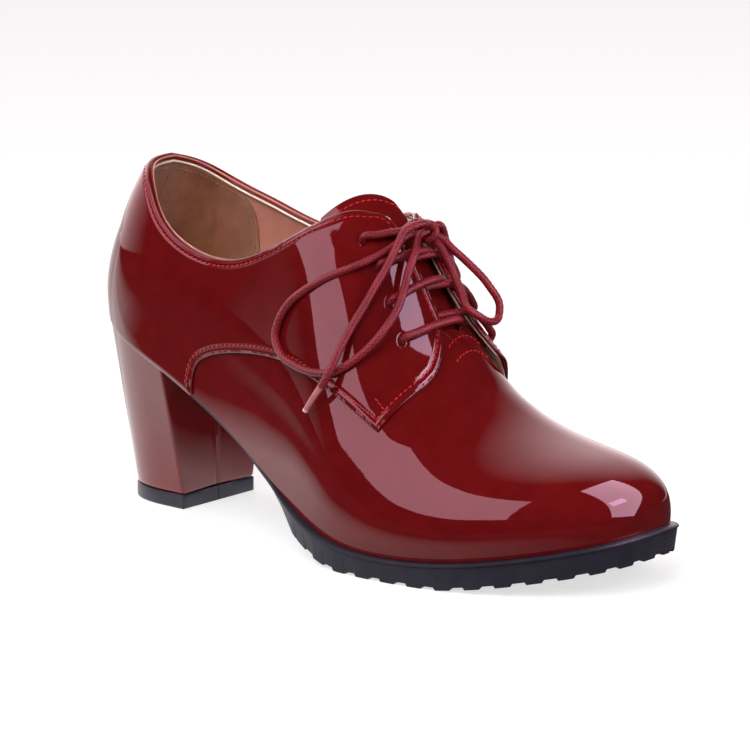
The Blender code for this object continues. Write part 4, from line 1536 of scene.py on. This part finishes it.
@dataclass
class Outsole:
    """The rubber sole: thin under the waist, thick and lugged under the forepart.

    Rows hold a place along the shoe, the thickness there and the ledge beyond the feather edge. The
    shoulder's rows hold a step out, a share of the lip and a drop; those under it a step in and a rise.
    """

    gap: float = 0.3
    breast: float = BREAST
    rows: tuple = (
        (40.0, 2.4, -0.6),
        (85.0, 2.2, -0.6),
        (100.0, 2.7, 0.3),
        (108.0, 4.8, 1.0),
        (116.0, 9.0, 1.8),
        (130.0, 9.8, 2.4),
        (170.0, 9.6, 2.5),
        (215.0, 9.5, 2.6),
        (238.0, 9.8, 2.6),
    )
    draft: float = 0.9
    lip_out: float = 0.5
    inset: float = 5.5
    shoulder: tuple = (
        (-inset, 0.0, 0.0),
        (-1.5, 0.0, 0.0),
        (-0.30, 0.0, 0.0),
        (-0.05, 0.0, 0.12),
        (0.0, 0.8, 0.42),
        (0.0, 1.0, 0.75),
        (0.0, 0.9, 1.0),
        (-0.10, 0.0, 1.3),
    )
    face_drop: float = 1.55
    face_inset: float = 0.05
    under: tuple = ((0.2, 0.12), (0.5, 0.0), (3.0, 0.0))
    under_round: float = 0.45
    rib_toe: tuple = (0.945, 0.975)
    rib_stretch: float = 1.25
    rib_start: float = 0.2
    toe_from: float = 231.0
    toe_power: float = 1.15
    cut_step: float = 1.4
    corner_step: float = 0.0005
    lug_start: float = 80.4
    lug_pitch: float = 10.9
    lug_length: float = 5.3
    lug_depth: float = 1.0
    lug_flank: float = 0.7
    lug_count: int = 14
    rib_depth: float = 0.16
    rib_count: int = 4

    def edge(self, s: Array) -> tuple[Array, Array]:
        """Thickness of the sole, and its ledge beyond the feather edge, at shares along the last."""
        places, rows = LAST.section(s)["along"], np.asarray(self.rows)
        return np.interp(places, rows[:, 0], rows[:, 1]), np.interp(places, rows[:, 0], rows[:, 2])

    def lug_shares(self) -> Array:
        """Shares along the last of the lugs' corners, even along the sole's outer edge."""
        s = np.linspace(LAST.shares_at([self.breast + self.gap])[0], 1.0, 1200)
        edge = LAST.feather(s, Side.OUTER.value, self.edge(s)[1] - self.draft)
        corners = np.array([-self.lug_flank, 0.0, self.lug_length, self.lug_length + self.lug_flank])
        starts = self.lug_start + self.lug_pitch * np.arange(self.lug_count)
        return np.interp((starts[:, None] + corners).ravel(), run_lengths(edge[:, :2]), s)

    def lug_rise(self, s: Array) -> Array:
        """Height of the underside over the lugs' ends."""
        levels = np.tile([self.lug_depth, 0.0, 0.0, self.lug_depth], self.lug_count)
        return np.interp(s, self.lug_shares(), levels, left=0.0, right=self.lug_depth)

    def shares(self) -> Array:
        """Shares along the last at which the sole is cut, dense at the lugs and round the toe."""
        plain = LAST.shares_at(np.arange(self.breast + self.gap, self.toe_from, self.cut_step))
        toe = 1 - (1 - plain[-1]) * np.linspace(1, 0, 70)[1:] ** self.toe_power
        corners = (self.lug_shares()[:, None] + np.array([-1, 0, 1]) * self.corner_step).ravel()
        return np.unique(np.concatenate([plain, toe, corners]))

    def profile(self, s: Array) -> list[tuple[Array, Array]]:
        """Steps out from the feather edge and heights, from the sole's top round to its underside."""
        thick, ledge = self.edge(s)
        top = LAST.section(s)["foot"] - self.gap
        low = np.maximum(top - thick, 0.0) + self.lug_rise(s)
        lip = self.lip_out * np.clip(ledge, 0, 1)
        face = top - self.face_drop
        made = [(ledge + step + lip * share, top - drop) for step, share, drop in self.shoulder]
        toe = ease(s, *self.rib_toe)
        for u in np.linspace(0, 1, 36):
            rib = np.clip(u * self.rib_stretch - self.rib_start, 0, 1)
            rib = np.sin(math.pi * rib * self.rib_count) ** 2
            out = ledge - self.face_inset - self.draft * u - self.rib_depth * rib * toe
            made.append((out, face + (low + self.under_round - face) * u))
        made += [(ledge - self.draft - step, low + rise) for step, rise in self.under]
        return [*made, (ledge - self.inset, low)]

    def build(self) -> bpy.types.Object:
        """The sole's mesh."""
        s = self.shares()
        made, sides = Shell(), []
        for side in SIDES:
            columns = []
            for out, height in self.profile(s):
                column = LAST.feather(s, side, out)
                column[:, 2] = height
                columns.append(column)
            sides.append(made.add(np.stack(columns, 1)))
            made.quads(sides[-1])
        outer, inner = sides
        for column in (0, -1):
            made.quads(np.stack([outer[:, column], inner[:, column]], 1))
        made.polygons(np.concatenate([outer[0], inner[0, ::-1]])[None])
        piece = made.build("rubber_sole", [RUBBER.material()], "rubber", 32.0)
        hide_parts("outsole")
        return piece


@dataclass
class Heel:
    """The covered block heel and the rubber lift under it."""

    breast: float = BREAST
    gap: float = 0.3
    lift_width: float = 40.0
    lift_length: float = 34.8
    lift_side: float = 10.0
    lift_height: float = 5.6
    seat_out: float = 1.0
    corner: float = 1.1
    seam_depth: float = 0.45
    seam_width: float = 0.011
    hollow: float = 0.5
    steps: int = 90
    back_power: float = 0.9
    side_power: float = 0.75
    seat_power: float = 0.8
    step_power: float = 1.25
    stations: int = 13
    side_stations: int = 2
    block_rows: tuple = ((0.0, 0.75), (0.004, 0.42), (0.012, 0.28))
    block_inset: float = 0.25
    lift_rows: tuple = ((0.0, 0.5), (0.25, 0.15), (0.6, 0.0), (4.9, 0.0), (5.35, 0.1), (5.6, 0.45))

    def _side(self, at: Array, side: int) -> tuple[Array, Array]:
        """Half outlines of the lift and of the seat, from the breast's corner to the back."""
        straight = at < self.side_stations
        turn = np.clip((at - self.side_stations) / (self.stations - self.side_stations), 0, 1) * math.pi / 2
        curve = (self.lift_length - self.lift_side) * np.sin(turn) ** self.back_power
        back = np.where(
            straight,
            self.breast - self.lift_side / self.side_stations * at,
            self.breast - self.lift_side - curve,
        )
        half = np.where(straight, 1.0, np.maximum(np.cos(turn), 0.0) ** self.side_power)
        half = half * self.lift_width / 2
        low = np.stack([back, half * side, np.full(len(at), self.lift_height + self.gap)], 1)
        seat_s = LAST.shares_at([self.breast])[0] * (1 - (at / self.stations) ** self.seat_power)
        seat = LAST.feather(seat_s, side, self.seat_out)
        seat[:, 2] -= 1.5 * self.gap
        seat[at == 0, 0] = self.breast
        return low, seat

    def _level(self, level: float, inset: float) -> Array:
        """One closed outline of the heel at a share of its height, corners and seam worked in."""
        halves = []
        for side in SIDES:
            at = self.stations * (1 - np.linspace(1, 0, self.steps) ** self.step_power)
            low, seat = self._side(at, side)
            run = low + (seat - low) * level
            reach = run_lengths(run)
            even = self.corner + (reach[-1] - self.corner) * np.linspace(0, 1, self.steps)
            kept = read_along(even, reach, run)
            inner = run[0] + np.array([0.0, -side * self.corner, 0.0])
            halves.append(np.concatenate([turn_corner(inner, run[0], kept[0], 9)[:-1], kept]))
        outer, inner = halves
        left, right = outer[0], inner[0]
        seam = [0.488, 0.496, 0.5, 0.504, 0.512]
        across = np.concatenate([np.linspace(0, 0.478, 12), seam, np.linspace(0.522, 1, 12)])[1:-1]
        face = right + (left - right) * across[:, None]
        face[:, 0] -= self.seam_depth * np.exp(-(((across - 0.5) / self.seam_width) ** 2))
        face[:, 0] -= self.hollow * np.sin(math.pi * across) ** 2
        return self._drawn_in(np.concatenate([outer, inner[-2::-1], face]), inset)

    def _drawn_in(self, loop: Array, inset: float) -> Array:
        """An outline drawn in towards its middle."""
        return loop - unit((loop - loop.mean(0)) * (1, 1, 0)) * inset

    def block(self) -> bpy.types.Object:
        """The covered heel, its lower edge turned in a little."""
        levels = [(v, self.block_inset * (1 - v)) for v in np.linspace(0.03, 1, 30)]
        rings = np.array([self._level(*row) for row in (*self.block_rows, *levels)])
        return self._closed(rings, "covered_heel", PATENT, "patent", "heel_block")

    def lift(self) -> bpy.types.Object:
        """The lift, with softened edges."""
        plan = self._level(0.0, 0.0)
        rows = []
        front = plan[:, 0] > self.breast - 0.9
        for height, inset in self.lift_rows:
            row = self._drawn_in(plan, inset)
            row[:, 2] = height
            row[front, 0] = np.maximum(row[front, 0], self.breast - 0.35)
            rows.append(row)
        return self._closed(np.array(rows), "rubber_lift", RUBBER, "rubber", "top_lift")

    def _closed(self, rings: Array, name: str, finish: Finish, slot: str, node: str) -> bpy.types.Object:
        """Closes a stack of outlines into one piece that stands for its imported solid."""
        made = Shell()
        made.closed(rings)
        piece = made.build(name, [finish.material()], slot, 40.0)
        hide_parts(node)
        return piece


@dataclass
class Braid:
    """Round braided cord: strands wound both ways, standing out where they pass over."""

    radius: float = 1.42
    sides: int = 32
    step: float = 0.32
    strands: int = 6
    pitch: float = 11.4
    relief: float = 0.12
    valley: float = 0.6
    level: float = 0.7

    def tube(self, made: Shell, path: Array, squeeze: tuple[Array, Array] | None = None) -> Array:
        """Winds the cord along a path.

        Args:
            made: The shell that takes it.
            path: Even places along the cord.
            squeeze: Directions in which the cord is pressed flat at each place, and how far.

        Returns:
            How far each new point stands out, from 0 to 1.
        """
        run = unit(np.gradient(path, axis=0))
        first = [unit(np.cross(run[0], (0.3, 0.2, 1.0)))]
        for here in run[1:]:
            first.append(unit(first[-1] - here * np.dot(first[-1], here)))
        first = np.array(first)
        second = np.cross(run, first)
        turn = np.linspace(0, 2 * math.pi, self.sides, endpoint=False)[None, :]
        wind = 2 * math.pi * run_lengths(path)[:, None] / self.pitch
        right = np.cos(self.strands * (turn + wind))
        left = np.cos(self.strands * (turn - wind))
        high = np.clip((np.maximum(right, left) + self.valley) / (1 + self.valley), 0, 1)
        across = first[:, None] * np.cos(turn)[..., None] + second[:, None] * np.sin(turn)[..., None]
        across = across * (self.radius + self.relief * (high - self.level))[..., None]
        if squeeze is not None:
            axis, amount = squeeze
            depth = np.sum(across * axis[:, None], -1, keepdims=True)
            across = across - axis[:, None] * depth * amount[:, None, None]
        made.closed(path[:, None] + across)
        return high.ravel()


@dataclass
class Lace:
    """The lace: strands through the eyelets, the knot, two loops and two ends with tips.

    Routes over the last hold s, t and the height over it, or where they cross the throat s, the
    distance from the ridge and the height. The inner loop hangs free and holds places in millimetres;
    the wrap holds steps from the knot's middle. Pairs are for a strand from the outer side and one from
    the inner.
    """

    diameter: float = 3.0
    braid: Braid = field(default_factory=Braid)
    cover: float = 3.3
    under: float = -1.50
    tip_length: float = 14.5
    tip_overlap: float = 0.8
    tip_sides: int = 18
    tip_pale: int = 4
    tip_radius: float = 1.42
    tip_step: float = 0.30
    tip_taper: float = 0.14
    tip_close: float = 0.55
    tail: float = 8.0
    hole_reach: float = 2.2
    through: tuple = ((0.001, -2.2, -1.50, 0.5), (0.0, 0.35, 0.1, 1.0), (-0.0003, -0.9, 2.9, 1.0))
    over_shares: tuple = (0.78, 0.58, 0.40)
    under_shares: tuple = (0.35, 0.7)
    ridge_lifts: tuple = (1.8, 3.2)
    over_powers: tuple = (1.5, 1.0)
    press: float = 0.52
    ridge_outer: tuple = (0.5685, 0.5360, 0.5135)
    ridge_inner: tuple = (0.5635, 0.5410, 0.5175)
    dive_outer: tuple = ((1.0, 0.0, 1.0), (4.5, 0.0, -0.7))
    dive_inner: tuple = ((3.5, -0.002, 1.6), (7.5, -0.005, -0.2))
    tie_outer: tuple = ((0.4741, 19.6, 3.5), (0.4835, 14.1, 3.6), (0.4891, 10.2, 3.7))
    tie_inner: tuple = ((0.4900, 14.0, 3.5), (0.4915, 8.0, 3.6))
    tied: tuple = ((0.4900, 0.0, 3.2), (0.4955, -1.5, 4.6))
    knot: tuple = (0.5005, -1.4, 6.0)
    loop_outer: tuple = (
        (0.4957, 0.885, 5.6),
        (0.4943, 0.807, 4.9),
        (0.4864, 0.720, 3.6),
        (0.4744, 0.649, 3.4),
        (0.4574, 0.583, 3.4),
        (0.4351, 0.515, 3.4),
        (0.4119, 0.453, 3.4),
        (0.3960, 0.408, 3.4),
        (0.3830, 0.351, 3.4),
        (0.3804, 0.309, 3.4),
        (0.3946, 0.287, 3.4),
        (0.4232, 0.297, 3.4),
        (0.4648, 0.335, 3.4),
        (0.4882, 0.372, 3.4),
        (0.5133, 0.452, 3.4),
        (0.5256, 0.521, 4.6),
        (0.5319, 0.604, 6.3),
        (0.5312, 0.692, 6.6),
        (0.5239, 0.760, 6.4),
        (0.5173, 0.805, 6.6),
        (0.5110, 0.855, 7.4),
    )
    end_outer: tuple = (
        (0.4955, 0.935, 10.6),
        (0.4918, 0.845, 8.9),
        (0.4951, 0.806, 8.2),
        (0.5003, 0.742, 6.4),
        (0.5018, 0.662, 5.0),
        (0.5014, 0.585, 4.6),
        (0.4985, 0.513, 5.0),
        (0.4968, 0.451, 6.2),
        (0.4954, 0.395, 7.0),
        (0.4923, 0.359, 6.8),
        (0.4800, 0.310, 5.6),
        (0.4525, 0.233, 2.8),
    )
    end_inner: tuple = (
        (0.496, 0.925, 7.2),
        (0.4995, 0.800, 5.2),
        (0.5010, 0.700, 3.8),
        (0.5010, 0.600, 3.5),
        (0.5005, 0.430, 3.4),
        (0.494, 0.310, 3.4),
        (0.474, 0.215, 3.4),
    )
    loop_inner: tuple = (
        (142.4, 9.0, 110.9),
        (145.2, 10.2, 108.0),
        (148.4, 13.3, 103.9),
        (156.0, 18.0, 94.6),
        (159.3, 20.2, 87.4),
        (159.3, 19.2, 82.6),
        (159.7, 14.5, 82.3),
        (158.9, 8.2, 85.4),
        (156.6, 4.9, 88.4),
        (153.0, 6.2, 93.4),
        (149.0, 6.7, 99.5),
        (146.4, 6.2, 104.7),
        (143.3, 5.6, 109.4),
    )
    wrap: tuple = (
        (-1.9, 2.6, -1.5),
        (0.0, 2.95, 0.3),
        (2.2, 2.0, 0.6),
        (2.95, 0.0, 0.6),
        (2.2, -2.1, 0.3),
        (0.0, -2.95, -0.3),
        (-1.8, -2.6, -1.8),
        (-3.0, -1.0, -3.0),
        (-2.5, 1.5, -3.2),
    )

    def build(self) -> None:
        """All of the lace."""
        self.strands()
        knot = self.tie()
        outer, inner = SIDES
        leaves = self.in_knot((-3.0, -1.6, -1.0))
        enters = self.in_knot((-2.0, -0.9, 1.6), (0.3, 0.2, 0.2))
        self.cord("loop_outer", [leaves, LAST.over(self.loop_outer, outer), enters], [knot])
        leaves = self.in_knot((1.6, -0.6, -2.0))
        enters = self.in_knot((2.0, -2.6, -1.6), (0.8, -0.8, -1.6))
        self.cord("loop_inner", [leaves, self.loop_inner, enters], [])
        leaves = self.in_knot((1.3, 0.6, -0.6), (0.4, 2.2, 2.2))
        self.cord("end_outer", [leaves, LAST.over(self.end_outer, outer)], None)
        leaves = self.in_knot((1.2, 1.4, -2.4))
        self.cord("end_inner", [leaves, LAST.over(self.end_inner, inner)], None)

    def in_knot(self, *steps: tuple[float, float, float]) -> Array:
        """Places in the knot, in steps to the right, up and outwards from its middle."""
        axes = np.array([[0.766, 0.643, 0.0], [-0.134, 0.159, 0.978], [0.629, -0.749, 0.208]])
        return LAST.by_arc(*self.knot) + np.array(steps) @ axes

    def cord(self, name: str, route: Sequence, pieces: list | None) -> None:
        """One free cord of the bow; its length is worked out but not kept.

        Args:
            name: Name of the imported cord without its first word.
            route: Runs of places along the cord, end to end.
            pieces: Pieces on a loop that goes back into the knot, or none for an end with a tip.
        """
        path = smooth_route(np.concatenate(route), self.braid.step)
        if pieces is None:
            reach = run_lengths(path)
            start = reach[-1] - self.tip_length
            pieces = [self.tip(name, path[reach > start])]
            path = path[reach <= start + self.tip_overlap]
        made = Shell()
        high = self.braid.tube(made, path)
        piece = made.build_cord(f"bow_{name}", high)
        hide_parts(f"lace_{name}")
        centre = to_row(path)
        float(run_lengths(centre)[-1])

    def tip(self, name: str, path: Array) -> bpy.types.Object:
        """The hard tip on a free end: a rolled film that narrows towards a pale end."""
        path = resample(path, 0.5)
        run = unit(np.gradient(path, axis=0))
        side = unit(np.cross(run, (0.2, 0.1, 1.0)))
        share = np.linspace(0, 1, len(path))
        size = self.tip_radius - self.tip_step * ease(share, 0.0, 0.12) - self.tip_taper * share
        size = size * (1 - self.tip_close * ease(share, 0.965, 1.0))
        made = Shell()
        sweep(made, path, (side, np.cross(run, side)), round_profile(1.0, 1.0, self.tip_sides), size)
        pale = (len(path) - self.tip_pale) * self.tip_sides
        made.marks = [int(min(face) >= pale) for face in made.faces]
        return made.build(f"tip_{name}", [TIP.material(), TIP_END.material()], "lace", 50.0)

    def _press(self, path: Array, lifts: Array) -> tuple[Array, Array]:
        """Directions and amounts by which the hidden runs are pressed flat under the facings."""
        outward = path - np.array([0.0, 5.0, 0.0])
        outward[:, 0] = 0.0
        outward[:, 2] -= 70.0
        return unit(outward), self.press * ease(-lifts, -0.4, 1.2)

    def strands(self) -> bpy.types.Object:
        """Both halves of the lace, criss-cross through the eyelets up to the knot."""
        made, high = Shell(), []
        for first in SIDES:
            rows = self._zigzag(first)
            places = np.array([LAST.by_arc(s, arc, lift) for s, arc, lift in rows])
            path = smooth_route(places, self.braid.step)
            reach = run_lengths(places)
            along = run_lengths(path)
            lifts = np.interp(along * reach[-1] / along[-1], reach, rows[:, 2])
            high.append(self.braid.tube(made, path, self._press(path, lifts)))
        piece = made.build_cord("lace_strands", np.concatenate(high))
        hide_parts(*(f"lace_cross_{i}" for i in (1, 2, 3, 4)))
        return piece

    def _zigzag(self, side: int) -> Array:
        """Places of one half: share along, signed distance from the ridge, height over the last."""
        rows: list[tuple[float, float, float]] = []
        for i in range(4):
            s, arc = PATTERN.eyelets(side)[i]
            stand = PATTERN.flap_lift(np.array([s]), np.array([1.0]), side)[0]
            loose = PATTERN.flap_lift(np.array([s]), np.array([1.0]), 1)[0]
            if i == 0:
                rows.append((s, side * (arc - self.tail), self.under))
            for shift, out, lift, share in self.through:
                rows.append((s + shift, side * (arc + out), lift + share * stand))
            outer = side < 0
            if i == 3:
                middle = self.tie_outer if outer else self.tie_inner
                rows += [(at, side * far, lift) for at, far, lift in (*middle, *self.tied)]
                break
            ridge = (self.ridge_outer if outer else self.ridge_inner)[i]
            power, lift = self.over_powers[not outer], self.ridge_lifts[not outer]
            for share in self.over_shares:
                at = ridge + (s - ridge) * share**power
                rows.append((at, side * arc * share, self.cover + stand))
            rows.append((ridge, 0.0, lift + 0.5 * loose))
            ahead, far = PATTERN.eyelets(-side)[i + 1]
            dive = self.dive_outer if outer else self.dive_inner
            rows += [(ridge + shift, -side * at, lift) for at, shift, lift in dive]
            low, near = rows[-1][0], abs(rows[-1][1])
            for share in self.under_shares:
                at = near + (far - self.hole_reach - near) * share
                rows.append((low + (ahead - low) * share, -side * at, self.under))
            side = -side
        return np.array(rows)

    def tie(self) -> bpy.types.Object:
        """The knot: the cord wound round the loops where they leave it."""
        made = Shell()
        high = self.braid.tube(made, smooth_route(self.in_knot(*self.wrap), self.braid.step))
        piece = made.build_cord("bow_knot", high)
        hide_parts("lace_knot")
        return piece


@dataclass(frozen=True)
class Softbox:
    """One soft light: where it stands as seen from the shoe, its size and its brightness."""

    name: str
    azimuth: float
    elevation: float
    distance: float
    width: float
    height: float
    radiance: float
    colour: tuple[float, float, float] = (1.0, 1.0, 1.0)
    mirrored: bool = True
    lit: bool = True
    spread: float = 180.0
    roll: float = 0.0
    aim: tuple[float, float, float] = (120.0, 0.0, 60.0)


@dataclass
class Studio:
    """Camera, pale floor, bright backdrop and soft lights."""

    azimuth: float = 40.0
    elevation: float = 12.0
    distance: float = 1140.0
    target: tuple = (120.0, 0.0, 60.0)
    focal: float = 3139.6
    principal: tuple = (379.26, 374.41)
    pixels: float = 750.0
    sensor: float = 36.0
    floor_half: float = 6.0
    floor_drop: float = 0.00005
    floor_seen: float = 0.66
    floor_shade: tuple = (0.06, 0.50)
    strip_near: tuple = (-0.150, -0.085)
    strip_far: tuple = (0.090, 0.030)
    strip_along: tuple = (0.170, -0.160, 1.7)
    glow_azimuth: float = 238.0
    glow_reach: tuple = (0.180, 0.300, 1.1)
    glow_side: tuple = (-0.360, -0.160)
    backdrop: tuple = (-115.0, 12.0)
    room: tuple = (0.40, 0.92, 2.3, 0.04)
    room_tint: tuple = (1.0, 0.82, 0.85, 1.0)
    white: tuple = (1.0, 1.0, 1.0, 1.0)
    boxes: tuple = (
        Softbox("front_box", -19.0, 37.0, 1.5, 1.42, 1.12, 4.2, (1.0, 0.56, 0.68), lit=False, roll=22.0),
        Softbox("facing_box", 106.0, 39.5, 1.5, 0.48, 0.28, 6.0, (1.0, 0.68, 0.94), lit=False),
        Softbox("toe_box", 120.8, 41.1, 0.091, 0.078, 0.160, 7.0, (1.0, 0.62, 0.82), lit=False, roll=-27.0,
                aim=(229.9, -11.0, 34.2)),
        Softbox("fill_box", 10.0, 45.0, 1.8, 1.6, 1.6, 3.8, mirrored=False),
        Softbox("side_box", 95.0, 25.0, 1.8, 1.4, 1.4, 3.0, mirrored=False),
        Softbox("collar_box", 40.0, 48.0, 0.8, 0.06, 0.06, 0.75, mirrored=False, spread=7.0,
                aim=(40.0, 10.0, 108.0)),
    )

    def camera(self) -> None:
        """The camera at the photograph's angle."""
        made = bpy.data.cameras.new("view")
        made.sensor_width = self.sensor
        made.lens = self.focal * self.sensor / self.pixels
        made.shift_x = -(self.principal[0] - self.pixels / 2) / self.pixels
        made.shift_y = (self.principal[1] - self.pixels / 2) / self.pixels
        made.clip_end = 50.0
        eye = bpy.data.objects.new("view", made)
        bpy.context.scene.collection.objects.link(eye)
        centre = to_row(np.array(self.target))
        eye.location = centre + self._towards(self.azimuth, self.elevation) * self.distance * MM
        eye.rotation_euler = (Vector(centre) - eye.location).to_track_quat("-Z", "Y").to_euler()
        bpy.context.scene.camera = eye

    def _towards(self, azimuth: float, elevation: float) -> Array:
        """Unit vector from the shoe, azimuth from the outer side towards the toe."""
        az, el = math.radians(azimuth), math.radians(elevation)
        return np.array([math.sin(az) * math.cos(el), -math.cos(az) * math.cos(el), math.sin(el)])

    def lights(self) -> None:
        """The soft boxes, turned to the shoe."""
        for box in self.boxes:
            made = bpy.data.lights.new(box.name, "AREA")
            made.shape = "RECTANGLE"
            made.size, made.size_y = box.width, box.height
            made.energy = box.radiance * math.pi * box.width * box.height
            made.color = box.colour
            made.spread = math.radians(box.spread)
            light = bpy.data.objects.new(box.name, made)
            centre = to_row(np.array(box.aim))
            light.location = centre + self._towards(box.azimuth, box.elevation) * box.distance
            turn = (Vector(centre) - light.location).to_track_quat("-Z", "Y").to_matrix()
            light.rotation_euler = (turn @ Matrix.Rotation(math.radians(box.roll), 3, "Z")).to_euler()
            light.visible_glossy, light.visible_diffuse = box.mirrored, box.lit
            light.visible_camera = False
            bpy.context.scene.collection.objects.link(light)

    def floor(self) -> None:
        """A plain pale floor, bright enough to run into the backdrop."""
        made = Shell()
        line = np.linspace(-self.floor_half, self.floor_half, 9)
        flat = np.stack(np.meshgrid(line, line, [-self.floor_drop]), -1)[:, :, 0]
        made.quads(made.add(flat))
        mesh = bpy.data.meshes.new("floor")
        mesh.from_pydata(flat.reshape(-1, 3).tolist(), [], made.faces)
        material = bpy.data.materials.new("pale_floor")
        material.use_nodes = True
        shader = material.node_tree.nodes["Principled BSDF"]
        shader.inputs["Roughness"].default_value = 0.7
        shader.inputs["Specular IOR Level"].default_value = 0.0
        nodes = Nodes(material.node_tree)
        place = nodes.add("ShaderNodeTexCoord").outputs["Object"]
        split = nodes.add("ShaderNodeSeparateXYZ", {0: place}).outputs
        near = nodes.ramp(split["Y"], *self.strip_near)
        near = nodes.maths("MULTIPLY", near, nodes.ramp(split["Y"], *self.strip_far))
        near = nodes.maths("MULTIPLY", near, nodes.ramp(split["X"], *self.strip_along))
        reach = nodes.along(place, Vector(self._towards(self.glow_azimuth, 0.0)))
        far = nodes.ramp(reach, *self.glow_reach)
        far = nodes.maths("MULTIPLY", far, nodes.ramp(split["Y"], *self.glow_side))
        glow = nodes.maths("MAXIMUM", near, far)
        seen = nodes.add("ShaderNodeLightPath").outputs["Is Camera Ray"]
        level = nodes.mix("FLOAT", seen, glow, self.floor_seen)
        plain = nodes.mix("FLOAT", seen, *self.floor_shade)
        material.node_tree.links.new(plain, shader.inputs["Base Color"])
        material.node_tree.links.new(level, shader.inputs["Emission Color"])
        shader.inputs["Emission Strength"].default_value = 1.0
        mesh.materials.append(material)
        plane = bpy.data.objects.new("floor", mesh)
        bpy.context.scene.collection.objects.link(plane)

    def world(self) -> None:
        """White for the camera, and for the shoe a bright backdrop behind it in a dim room."""
        world = bpy.data.worlds.new("studio")
        bpy.context.scene.world = world
        world.use_nodes = True
        nodes = Nodes(world.node_tree)
        ground = world.node_tree.nodes["Background"]
        aim = nodes.add("ShaderNodeTexCoord").outputs["Generated"]
        facing = nodes.along(aim, Vector(self._towards(*self.backdrop)))
        room = nodes.ramp(facing, *self.room)
        seen = nodes.add("ShaderNodeLightPath").outputs["Is Camera Ray"]
        level = nodes.mix("FLOAT", seen, room, 1.0)
        tint = nodes.mix("RGBA", seen, self.room_tint, self.white)
        world.node_tree.links.new(level, ground.inputs["Strength"])
        world.node_tree.links.new(tint, ground.inputs["Color"])

    def build(self) -> None:
        """The whole studio."""
        self.camera()
        self.lights()
        self.floor()
        self.world()
        bpy.context.scene.view_settings.view_transform = "Standard"


def main() -> None:
    """Builds the studio and every piece of the shoe in order."""
    logging.basicConfig(level=logging.INFO, format="%(name)s: %(message)s")
    Studio().build()
    Lace().build()
    red = Stitching("red_stitches", THREAD)
    tan = Stitching("tan_stitches", TAN_THREAD, length=1.7, width=0.5)
    red.rows += Vamp().build()
    for side in Side:
        quarter = Quarter(side)
        red.rows += quarter.build()
        quarter.facing_lining()
    red.rows += Tongue().build()
    Collar().build()
    lining = Lining()
    lining.build()
    lining.sock()
    tan.rows += lining.rows
    Outsole().build()
    heel = Heel()
    heel.block()
    heel.lift()
    red.build("patent")
    tan.build("lining")


if __name__ == "__main__":
    main()
